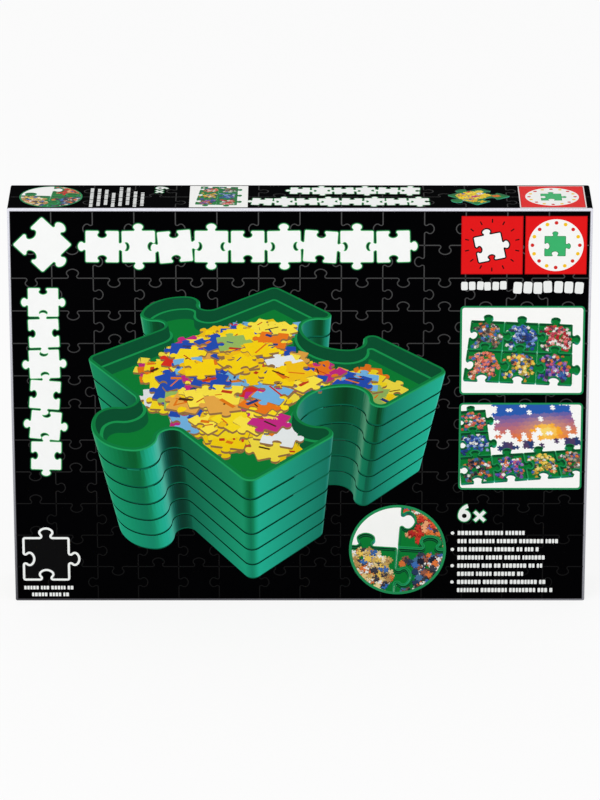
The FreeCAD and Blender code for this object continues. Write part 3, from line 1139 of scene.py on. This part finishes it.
# %% Room on a tray's floor, and tiny pieces
def has_room(x, y, room, sides=TRAY_SIDES):
    """Whether a place on a tray's floor is clear of its walls, the bites of its sockets included."""
    half, bite, broad = BODY / 2 - room, BODY / 2 - REACH - room, SPREAD + CHEEK + room
    if max(abs(x), abs(y)) > half:
        return False
    reaches = ((y, x), (-x, y), (-y, x), (x, y))
    for kind, (along, across) in zip(sides, reaches):
        if kind == SOCKET and along > bite and abs(across) < broad:
            return False
    return True


def chip(body, sides):
    """A tiny jigsaw piece with only the points that show at its size."""
    outline = []
    for quarter, kind in enumerate(sides):
        top = 0.5 + 0.25 * kind
        run = [(0.5, 0.5), (0.1, 0.5), (0.17, top), (-0.17, top), (-0.1, 0.5)]
        for _ in range(quarter):
            run = [(-y, x) for x, y in run]
        outline += [(px * body, py * body) for px, py in run]
    return outline


print("room in the middle and in a corner:", has_room(0, 0, 8), has_room(76, 76, 8))

# %% Draw a heap of loose pieces
LIGHT = Vector((-0.45, -0.35, 0.82)).normalized()
CUT_EDGE = ink(150, 112, 66)
MARK_INKS = [ink(70, 40, 16), ink(196, 56, 24), ink(226, 120, 20), ink(34, 60, 120)]
THICKNESS = 0.085


def dimmed(tone, share):
    return tuple(c * share for c in tone)


def draw_marks(drawing, place, body, pick, lit):
    """A few printed strokes on one piece, just above its face."""
    for _ in range(pick.randint(1, 3)):
        x0, y0, x1, y1 = (pick.uniform(-0.34, 0.34) * body for _ in range(4))
        width = pick.choice((0.05, 0.07, 0.14)) * body
        mark = stroke(x0, y0, x1 + 0.01, y1 + 0.3, width)
        drawing.add([place(p, 0.15) for p in mark], dimmed(pick.choice(MARK_INKS), lit))


def draw_heap(drawing, x, y, z, shape, count, body, palette, seed, fine=False):
    """Loose pieces on and over each other. The shape is the heap's (spread, rise, lean in degrees)."""
    pick = random.Random(seed)
    spread, rise, lean = shape
    for i in range(count):
        level = i / count
        dx, dy = 2 * BODY, 0.0
        while not has_room(dx, dy, body * 0.55):
            away = spread * math.sqrt(pick.random()) * (1 - 0.25 * level)
            angle = pick.uniform(0, 2 * math.pi)
            dx, dy = away * math.cos(angle), away * math.sin(angle)
        centre = Vector((x + dx, y + dy, z + 0.5 + rise * level * (1 - 0.8 * (away / spread) ** 2)))
        axis = (math.cos(angle + 1.5), math.sin(angle + 1.5), 0)
        tilt = Matrix.Rotation(math.radians(pick.uniform(-lean, lean)), 3, axis)
        turn = tilt @ Matrix.Rotation(pick.uniform(0, 6.28), 3, "Z")
        sides = [pick.choice((KNOB, SOCKET)) for _ in range(4)]
        flat = small_piece(0, 0, body, step=60, sides=sides) if fine else chip(body, sides)

        def place(point, above):
            return centre + turn @ Vector((*point, body * THICKNESS + above))

        lit = (0.82 + 0.18 * level) * (0.72 + 0.32 * max(0.0, (turn @ Vector((0, 0, 1))).dot(LIGHT)))
        tone = pick.choice(palette)
        face = [place(p, 0.0) for p in flat]
        drawing.add(face, dimmed(tone, lit))
        if fine:
            foot = [centre + turn @ Vector((*p, 0)) for p in flat]
            draw_band(drawing, foot, face, dimmed(CUT_EDGE, lit))
            draw_marks(drawing, place, body, pick, lit)
        else:
            under = drawing.up * (-0.16 * body)
            drawing.add([place(p, -0.3) + under for p in flat], dimmed(tone, 0.25))


YELLOWS = [ink(252, 222, 30), ink(250, 212, 12), ink(254, 230, 70), ink(245, 194, 22)]
ACCENTS = [ink(236, 120, 24), ink(222, 48, 32), ink(196, 40, 130), ink(34, 76, 176), ink(116, 180, 226)]
ACCENTS += [ink(236, 240, 240), ink(150, 186, 96), ink(232, 168, 70)]
MAGENTA_AND_BLUE = ACCENTS[2:4]
heap_inks = YELLOWS * 3 + YELLOWS[:2] + MAGENTA_AND_BLUE + ACCENTS
others = [tone for tone in heap_inks if tone not in YELLOWS]
print(f"inks of a heap: {len(heap_inks)}, of which {len(others)} aren't yellow")

# %% [markdown]
# ## The main picture
#
# Six nested trays are stacked corner on, seen from near by, so that the stack narrows downwards. The top one
# holds a low, wide heap of mostly yellow pieces. It is the print's largest field and sits straight on the
# black.


# %% Main picture
STACK_PITCH = 14.8
HEAP_BED = 16


def draw_stack(azimuth, elevation, distance, levels, pieces, body):
    """Nested trays with a heap of yellow pieces in the top one."""
    drawing = Drawing(azimuth, elevation, distance)
    top = STACK_PITCH * levels
    for level in range(levels):
        draw_wall(drawing, 0, 0, STACK_PITCH * level, step=12, height=STACK_PITCH, seam=1.7)
    draw_open_top(drawing, 0, 0, top, step=12)
    draw_heap(drawing, 0, 0, top - HEAP_BED, (80, 17, 4.5), pieces, body, heap_inks, seed=4, fine=True)
    return drawing


stack = draw_stack(azimuth=-131, elevation=43, distance=440, levels=6, pieces=200, body=18.5)
print_film("main_picture", stack.fitted(-139, 16, 97, 217), lift=PICTURE_LIFT)

# %% [markdown]
# ## Titles
#
# The title runs along the top and down the left side as rows of white jigsaw pieces with a green glow. The
# knobs alternate, so that neighbours seem to belong together, and each piece leans a little.


# %% Title pieces
def title_row(start, pitch, count, body, seed, glow=1.1):
    """A row of leaning white pieces with their halos, from a start on and a pitch (x, y) apart."""
    pick = random.Random(seed)
    fields = []
    for i in range(count):
        sides = [KNOB if (i + k) % 2 else SOCKET for k in range(4)]
        x, y = start[0] + pitch[0] * i, start[1] + pitch[1] * i
        fields += halo_piece(x, y, body, pick.uniform(-6, 6), sides, glow)
    return fields


title = title_row((-125.0, 244.6), (23.0, 0), count=9, body=20.8, seed=11)
title += title_row((-163.0, 207.0), (0, -21.0), count=6, body=19.0, seed=12)
title += halo_piece(-162.9, 245.9, 26.0, turn=-45)
print_film("title_pieces", title, lift=NOTE_LIFT)

# %% [markdown]
# ## Badges and notes
#
# Two red squares close the title row. Beside the picture stand two small scenes, a count, a list and an
# outline of one tray. A line of words is a row of plain upright blocks, as high and as close as letters.


# %% Red badges
def badge(x, y, size):
    """A red square with a faint darker rim."""
    return [
        (rounded_box(x, y, x + size, y + size), ink(196, 12, 16), 5.0),
        (rounded_box(x + 0.5, y + 0.5, x + size - 0.5, y + size - 0.5), ink(229, 20, 22), 4.9),
    ]


def starburst(x, y, inner, outer, count, width):
    """Short black rays round a centre."""
    rays = []
    for i in range(count):
        a = 2 * math.pi * (i + 0.5) / count
        c, s = math.cos(a), math.sin(a)
        ray = stroke(x + inner * c, y + inner * s, x + outer * c, y + outer * s, width)
        rays.append((ray, ink(20, 8, 8), 3.0))
    return rays


def piece_icon(x, y, body, turn):
    """A white piece with a black edge."""
    return [
        (small_piece(x, y, body, turn, -0.9), ink(12, 12, 12), 2.0),
        (small_piece(x, y, body, turn), ink(250, 250, 248), 1.0),
    ]


def tray_icon(x, y, radius):
    """A white disc with a green tray seen from above, and a ring of dots near its edge."""
    body, at = radius * 0.78, (x - 0.6, y - 0.6)
    fields = [(disc(x, y, radius), ink(250, 250, 248), 3.0)]
    fields.append((small_piece(*at, body), ink(16, 130, 70), 2.0))
    fields.append((small_piece(*at, body, inset=0.4), ink(60, 180, 110), 1.5))
    dots = 16
    for i in range(dots):
        a = 2 * math.pi * i / dots
        dot = disc(x + radius * 0.86 * math.cos(a), y + radius * 0.86 * math.sin(a), radius * 0.07, 30)
        fields.append((dot, ink(246, 196, 30) if i % 2 else ink(214, 40, 34), 1.0))
    return fields


BADGE_LOW, BADGE_SIZE = 226.0, 39.0
badges = badge(101.9, BADGE_LOW, BADGE_SIZE) + badge(142.3, BADGE_LOW, BADGE_SIZE)
badges += starburst(121.4, 245.5, inner=15.0, outer=17.6, count=14, width=0.8)
badges += piece_icon(119.8, 243.9, 17.0, turn=12)
badges += tray_icon(161.8, 245.5, 17.4)
print_film("red_badges", badges, lift=NOTE_LIFT)


# %% Lines of words
PALE, GLOW = ink(240, 242, 240), ink(26, 138, 76)


def turned(fields, x, y, degrees):
    """Fields in one ink, turned about a place."""
    turning, at = Matrix.Rotation(math.radians(degrees), 2), Vector((x, y))
    return [([tuple(turning @ (Vector(p) - at) + at) for p in points], tone, d) for points, tone, d in fields]


def word_line(x, y, width, height, colour, seed, upright=False):
    """One line of words, along the panel or up it, as plain blocks."""
    pick = random.Random(seed)
    fields, at = [], 0.0
    while at < width:
        for _ in range(pick.randint(2, 8)):
            broad = height * pick.uniform(0.45, 0.7)
            if at + broad > width:
                return fields
            low, high = (at, 0.0), (at + broad, height)
            if upright:
                low, high = (-height, at), (0.0, at + broad)
            block = rounded_box(x + low[0], y + low[1], x + high[0], y + high[1], 0.12 * height, 45)
            fields.append((block, colour, 1.0))
            at += broad + 0.18 * height
        at += 0.35 * height
    return fields


def playful_word(x, y, width, height, count, seed):
    """One bold word as broad blocks that lean and hop a little."""
    pick = random.Random(seed)
    pitch = width / count
    fields = []
    for i in range(count):
        low = y + pick.uniform(-0.06, 0.06) * height
        block = rounded_box(x + pitch * i, low, x + pitch * (i + 0.84), low + height, 0.16 * height, 30)
        fields += turned([(block, PALE, 1.0)], x + pitch * (i + 0.42), low, pick.uniform(-5, 5))
    return fields


print("blocks in a line of 50 mm:", len(word_line(0, 0, 50, 3, PALE, seed=1)))


# %% [markdown]
# The count of the trays is the only numeral. It could be a text object, but the outline of a font grows
# unevenly where it needs a glow. Discs, arcs and strokes grow by a plain margin.


# %% The count
def count_fields(x, y, size, colour, grow, depth):
    """A bold 6 and a times sign. The bowl's eye is laid over it in black."""
    bowl, heavy, back_radius = 0.31 * size, 0.2 * size, 0.66 * size
    middle, back = (x + bowl, y + bowl), (x + back_radius, y + bowl)
    outer = arc(back, back_radius + grow, 108, 180, 12)
    inner = arc(back, back_radius - heavy - grow, 180, 108, 12)
    fields = [(disc(*middle, bowl + grow, 12), colour, depth), (outer + inner, colour, depth)]
    fields.append((disc(*middle, 0.12 * size - 0.3 * grow, 20), ink(3, 4, 4), depth - 0.6))
    left, low, arm = x + 0.82 * size, y + 0.04 * size, 0.5 * size
    over = 0.7 * grow
    for start, end in ((low, low + arm), (low + arm, low)):
        lean = over if end > start else -over
        cross = stroke(left - over, start - lean, left + arm + over, end + lean, 0.17 * size + 2 * grow)
        fields.append((cross, colour, depth))
    return fields


def glowing_count(x, y, size, grow):
    """The count in white, over a broader one in green."""
    return count_fields(x, y, size, GLOW, grow, 4.0) + count_fields(x, y, size, PALE, 0.0, 2.0)


print("fields of a count:", len(glowing_count(0, 0, 10, 0.5)))

# %% Notes on the front
LIST_LEFT, LIST_TOP, LIST_PITCH = 101.9, 46.6, 5.75
LIST_WIDTHS = (44, 66, 54, 58, 57, 43, 58, 62)
notes = playful_word(102.2, 215.4, 29.5, 5.6, count=6, seed=3)
notes += playful_word(135.0, 213.2, 45.5, 7.8, count=7, seed=4)
for i, width in enumerate(LIST_WIDTHS):
    notes += word_line(LIST_LEFT, LIST_TOP - LIST_PITCH * i, width, 2.9, PALE, 20 + i)
    if i % 2 == 0:
        notes.append((disc(LIST_LEFT - 3.3, LIST_TOP + 1.4 - LIST_PITCH * i, 1.15, 30), PALE, 1.0))
notes += glowing_count(102.0, 56.0, 13.0, 0.6)
notes.append((small_piece(-164.3, 29.8, 29.2, inset=-0.75), ink(244, 246, 244), 2.0))
notes.append((small_piece(-164.3, 29.8, 29.2, inset=0.75), ink(3, 3, 4), 1.0))
notes += word_line(-179.0, 8.2, 33, 2.6, PALE, seed=40)
notes += word_line(-174.0, 3.4, 24, 2.6, PALE, seed=41)
print_film("printed_notes", notes, lift=NOTE_LIFT)

# %% [markdown]
# ## Small scenes
#
# One scene shows six trays locked three by two, each with its own pile. The other shows a half-laid puzzle
# with trays round it, and the round one looks straight down on the corner where three trays meet. Piles and
# puzzle are made of plain pieces in mixed inks. Each scene is clipped to its sheet and has a green border
# under it.


# %% Piles and locked trays
def mixed(*tones):
    """Inks from triples of 0 to 255."""
    return [ink(*t) for t in tones]


FLECKS = mixed((240, 238, 232), (60, 60, 70), (60, 110, 180), (226, 120, 60))
PILES = {
    "grey": mixed((150, 132, 118), (110, 88, 76), (186, 168, 150), (70, 60, 62), (120, 130, 110)) + FLECKS,
    "blue": mixed((54, 92, 176), (104, 140, 210), (36, 60, 130), (150, 178, 226), (40, 80, 160)) + FLECKS[:2],
    "red": mixed((214, 60, 66), (232, 120, 124), (184, 32, 48), (240, 170, 160), (206, 70, 90)) + FLECKS[:2],
    "coral": mixed((238, 140, 110), (222, 104, 84), (246, 180, 150), (206, 90, 74), (236, 120, 100)) + FLECKS,
    "yellow": mixed((248, 214, 90), (238, 190, 60), (250, 228, 140), (216, 160, 50), (170, 150, 70)) + FLECKS,
    "violet": mixed((120, 84, 170), (84, 84, 186), (160, 120, 190), (56, 50, 130), (200, 90, 120)) + FLECKS,
    "brick": mixed((226, 84, 50), (206, 52, 40), (240, 130, 84), (180, 40, 36), (244, 170, 120)) + FLECKS,
    "tan": mixed((226, 196, 130), (206, 170, 96), (238, 214, 160), (180, 140, 84), (240, 200, 90)) + FLECKS,
    "dark blue": mixed((40, 62, 96), (28, 34, 50), (70, 110, 150), (110, 80, 70), (150, 90, 70)) + FLECKS,
}
PITCH = BODY + LOCK_GAP
BEHIND_SCENE = 999.0


def locked_trays(drawing, places, pieces, body, seed):
    """Trays locked side by side at grid places, with a pile in each."""
    for n, (column, row, pile) in enumerate(places):
        x, y = column * PITCH, row * PITCH
        draw_wall(drawing, x, y, 0.0, step=24, height=RIM)
        draw_open_top(drawing, x, y, RIM, step=24, rim=2.9, contrast=0.75)
        draw_heap(drawing, x, y, 4.0, (84, 16, 8), pieces, body, PILES[pile], seed + n)


def draw_six_trays(azimuth, pieces, body):
    """Six trays locked three by two."""
    drawing = Drawing(azimuth, elevation=67, distance=1600)
    rows = [("coral", "yellow", "violet"), ("grey", "blue", "red")]
    places = [(c - 1, r - 0.5, pile) for r, piles in enumerate(rows) for c, pile in enumerate(piles)]
    locked_trays(drawing, places, pieces, body, seed=60)
    return drawing


def scene_film(name, outline, fields, panel="front"):
    """A clipped scene on its white sheet, a little above its border."""
    white_sheet = (outline, ink(252, 252, 250), BEHIND_SCENE)
    print_film(name, [white_sheet] + fields, panel, SCENE_LIFT, outline)


print("piles:", ", ".join(PILES))

# %% Six locked trays
SHEET_RIM = 1.2
SIX_BOX = (101.9, 144.1, 181.1, 204.5)


def sheet(x0, y0, x1, y1):
    """The white sheet inside a border's box."""
    return rounded_box(x0 + SHEET_RIM, y0 + SHEET_RIM, x1 - SHEET_RIM, y1 - SHEET_RIM, 1.6)


six = draw_six_trays(azimuth=3, pieces=120, body=13.5)
scene_film("scene_of_six_trays", sheet(*SIX_BOX), six.fitted(104.0, 146.4, 179.0, 202.2))


# %% [markdown]
# The half-laid puzzle is a grid of flat locked pieces. Its picture is a formula of the column and the row, a
# plain evening sky. Random places stay empty, more of them near the trays.

# %% Half-laid puzzle
PUZZLE_BOX = (101.9, 78.4, 181.1, 138.4)
SUN_COLUMN, SUN_ROW, SUN_RADIUS = 9.5, 3.5, 2.6


def puzzle_ink(column, row):
    """An abstract picture: a blue sky that turns warm towards a low sun."""
    sky = mix(ink(236, 120, 40), ink(40, 92, 176), (row - 2) / 7)
    sun = math.hypot(column - SUN_COLUMN, (row - SUN_ROW) * 1.2)
    if sun < SUN_RADIUS:
        return mix(ink(255, 236, 130), ink(250, 170, 40), sun / SUN_RADIUS)
    if row < 2:
        return mix(ink(40, 60, 110), ink(90, 60, 90), (column % 3) / 3)
    return mix(sky, ink(250, 200, 110), 0.5 - 0.08 * sun)


def draw_puzzle(drawing, x, y, size, columns, rows, seed):
    """Flat locked pieces, with gaps where they haven't been laid yet."""
    pick = random.Random(seed)
    for column in range(columns):
        for row in range(rows):
            early = row < 3 + column % 3 or column < 1
            if pick.random() < (0.45 if early else 0.04):
                continue
            odd = (column + row) % 2
            sides = [SOCKET, KNOB, SOCKET, KNOB] if odd else [KNOB, SOCKET, KNOB, SOCKET]
            flat = [(px + x + size * column, py + y + size * row) for px, py in chip(size, sides)]
            drawing.add([Vector((*p, 0.5)) for p in flat], puzzle_ink(column, row))


puzzle = Drawing(azimuth=-5, elevation=60, distance=1500)
draw_puzzle(puzzle, 130, 130, size=27, columns=16, rows=13, seed=9)
row_of_trays = [(0, 2, "coral"), (0, 1, "blue"), (0, 0, "dark blue")]
row_of_trays += [(1, 0, "violet"), (2, 0, "yellow"), (3, 0, "grey")]
locked_trays(puzzle, row_of_trays, pieces=90, body=14, seed=80)
scene_film("scene_of_puzzle", sheet(*PUZZLE_BOX), puzzle.placed(0.132, 113.5, 91.5))


# %% [markdown]
# The round scene is clipped by a disc, and the green borders of all three scenes are one film below them.

# %% Round scene and the borders
ROUND_AT, ROUND_RADIUS, ROUND_STEP = (63.1, 36.2), 31.4, 5


def draw_corner(pieces, body):
    """The corner where three trays meet, a quarter of it left white."""
    drawing = Drawing(azimuth=4, elevation=70, distance=1400)
    places = [(0, 1, "brick"), (-1, 0, "tan"), (0, 0, "dark blue")]
    locked_trays(drawing, [(c + 0.5, r - 0.5, pile) for c, r, pile in places], pieces, body, seed=100)
    return drawing


corner = draw_corner(pieces=170, body=14)
scene_film("round_scene", disc(*ROUND_AT, ROUND_RADIUS - 1.8, ROUND_STEP), corner.placed(0.26, *ROUND_AT))
green = ink(30, 140, 84)
borders = [(rounded_box(*box, 2.6), green, 1.0) for box in (SIX_BOX, PUZZLE_BOX)]
borders.append((disc(*ROUND_AT, ROUND_RADIUS, ROUND_STEP), green, 1.0))
print_film("scene_borders", borders, lift=NOTE_LIFT)

# %% [markdown]
# ## The top wall
#
# The narrow top wall repeats the front's print in small: the round scene, the list turned upright, the six
# trays, the title in two rows, an open tray and a red square. The round scene is the same drawing, and the
# trays are drawn again with fewer pieces.

# %% Pictures on the top wall
TOP_ROUND, TOP_ROUND_RADIUS = (-158.0, 0.0), 20.0
TOP_SIX = (-70.0, -20.6, -33.0, 20.6)
top_disc = disc(*TOP_ROUND, TOP_ROUND_RADIUS - 1.0, ROUND_STEP)
scene_film("top_round_scene", top_disc, corner.placed(0.165, *TOP_ROUND), "top")
top_six = draw_six_trays(azimuth=93, pieces=40, body=20)
low_x, low_y, high_x, high_y = TOP_SIX
six_fields = top_six.fitted(low_x + SHEET_RIM, low_y + SHEET_RIM, high_x - SHEET_RIM, high_y - SHEET_RIM)
scene_film("top_scene_of_six_trays", rounded_box(*TOP_SIX), six_fields, "top")
small_stack = draw_stack(azimuth=-131, elevation=52, distance=700, levels=1, pieces=60, body=24.0)
print_film("top_open_tray", small_stack.fitted(94.0, -20.5, 133.0, 20.5), "top")

# %% [markdown]
# The rest of the top wall needs no drawing of solids: lines of words that run up the wall, the turned count,
# two rows of title pieces, and a red square with the disc and its ring of dots.

# %% Words, title and badge on the top wall
COUNT_AT = (-92.0, 19.5)
TOP_LIST_LEFT, TOP_LIST_PITCH = -131.0, 4.6
top_print = [(disc(*TOP_ROUND, TOP_ROUND_RADIUS, ROUND_STEP), green, 1.0)]
for i in range(8):
    low, long = -19.5 + (i % 3) * 2.0, 36 - 3 * (i % 4)
    top_print += word_line(TOP_LIST_LEFT + TOP_LIST_PITCH * i, low, long, 2.2, PALE, 60 + i, upright=True)
top_print += turned(glowing_count(*COUNT_AT, 9.0, 0.4), *COUNT_AT, -90)
top_print += title_row((0.0, 11.5), (14.0, 0), count=6, body=12.2, seed=13, glow=0.8)
top_print += title_row((-24.0, -9.5), (14.2, 0), count=8, body=12.6, seed=14, glow=0.8)
x, y, size = 138.8, -21.2, 42.2
top_print.append((rounded_box(x, y, x + size, y + size), ink(236, 226, 224), 6.0))
top_print += badge(x + 0.7, y + 0.7, size - 1.4) + tray_icon(x + size / 2, y + size / 2, 17.0)
print_film("top_print", top_print, "top")

# %% [markdown]
# ## The side walls
#
# The photo doesn't show the sides. Such boxes carry the title there too, so each gets a plain column of
# title pieces between a red square and an open tray.


# %% Print on the side walls
def side_print(panel, seed):
    """A red square on top, a column of title pieces, three lines of words and an open tray."""
    fields = badge(-19.0, 226.0, 38.0) + tray_icon(0.0, 245.0, 16.6)
    fields += title_row((0.0, 205.0), (0, -19.4), count=7, body=17.2, seed=seed, glow=0.9)
    for i in range(3):
        fields += word_line(-17.0, 58.0 - 4.6 * i, 34 - 4 * i, 2.3, PALE, seed + i)
    print_film(panel + "_side_print", fields, panel)
    print_film(panel + "_side_open_tray", small_stack.fitted(-19.0, 6.0, 19.0, 44.0), panel)


side_print("right", 31)
side_print("left", 32)

# %% [markdown]
# ## Floor and light
#
# A pale floor and a pale surround, with one large soft lamp from the upper left and a weaker one from the
# right, light the box evenly, at a level where an ink renders about as it is written.


# %% A pale floor
FLOOR_REACH, FLOOR_TONE, FLOOR_GLOW = 6.0, 0.93, 0.85


def add_floor():
    """A dull pale floor that keeps the box's shadow, and that the camera sees as nearly white."""
    mesh = bpy.data.meshes.new("floor")
    corners = [(x * FLOOR_REACH, y * FLOOR_REACH, 0) for x, y in ((-1, -1), (1, -1), (1, 1), (-1, 1))]
    mesh.from_pydata(corners, [], [(0, 1, 2, 3)])
    floor = bpy.data.objects.new("floor", mesh)
    bpy.context.scene.collection.objects.link(floor)
    material, tree, shader = new_material("pale_floor")
    shader.inputs["Base Color"].default_value = (FLOOR_TONE, FLOOR_TONE, FLOOR_TONE, 1.0)
    shader.inputs["Roughness"].default_value = 0.9
    shader.inputs["Specular IOR Level"].default_value = 0.0
    white = node(tree, "ShaderNodeEmission", {"Strength": 1.0})
    rays = node(tree, "ShaderNodeLightPath")
    glow = {0: rays.outputs["Is Camera Ray"], 1: FLOOR_GLOW}
    seen = node(tree, "ShaderNodeMath", glow, operation="MULTIPLY")
    blend = node(tree, "ShaderNodeMixShader", {0: seen.outputs[0], 1: shader.outputs[0], 2: white.outputs[0]})
    tree.links.new(blend.outputs[0], tree.nodes["Material Output"].inputs["Surface"])
    mesh.materials.append(material)
    print(f"floor: {2 * FLOOR_REACH:.0f} m square")


add_floor()


# %% The surround and two soft lamps
def light_world(strength):
    """An even pale surround, which camera and mirror rays see as white."""
    world = bpy.data.worlds.new("surround")
    bpy.context.scene.world = world
    world.use_nodes = True
    tree = world.node_tree
    back = tree.nodes["Background"]
    rays = node(tree, "ShaderNodeLightPath")
    seen = rays.outputs["Is Camera Ray"]
    for other in ("Is Glossy Ray", "Is Transmission Ray"):
        seen = node(tree, "ShaderNodeMath", {0: seen, 1: rays.outputs[other]}, operation="MAXIMUM").outputs[0]
    level = node(tree, "ShaderNodeMapRange", {"Value": seen, "To Min": strength, "To Max": 1.0})
    back.inputs["Color"].default_value = (1.0, 1.0, 1.0, 1.0)
    tree.links.new(level.outputs[0], back.inputs["Strength"])


BOX_MIDDLE = Vector((0, 0, 0.12))


def add_lamp(name, place, size, watts):
    """A square lamp that points at the middle of the box."""
    lamp = bpy.data.objects.new(name, bpy.data.lights.new(name, "AREA"))
    bpy.context.scene.collection.objects.link(lamp)
    lamp.data.size = size
    lamp.data.energy = watts
    lamp.location = place
    lamp.rotation_mode = "QUATERNION"
    lamp.rotation_quaternion = (BOX_MIDDLE - Vector(place)).to_track_quat("-Z", "Y")
    print(f"{name}: {watts} W, {size} m square")


light_world(strength=0.685)
add_lamp("key_lamp", (-1.6, -2.4, 2.6), size=2.2, watts=42)
add_lamp("fill_lamp", (2.2, -1.8, 1.6), size=1.8, watts=10)
bpy.context.scene.view_settings.view_transform = "Standard"
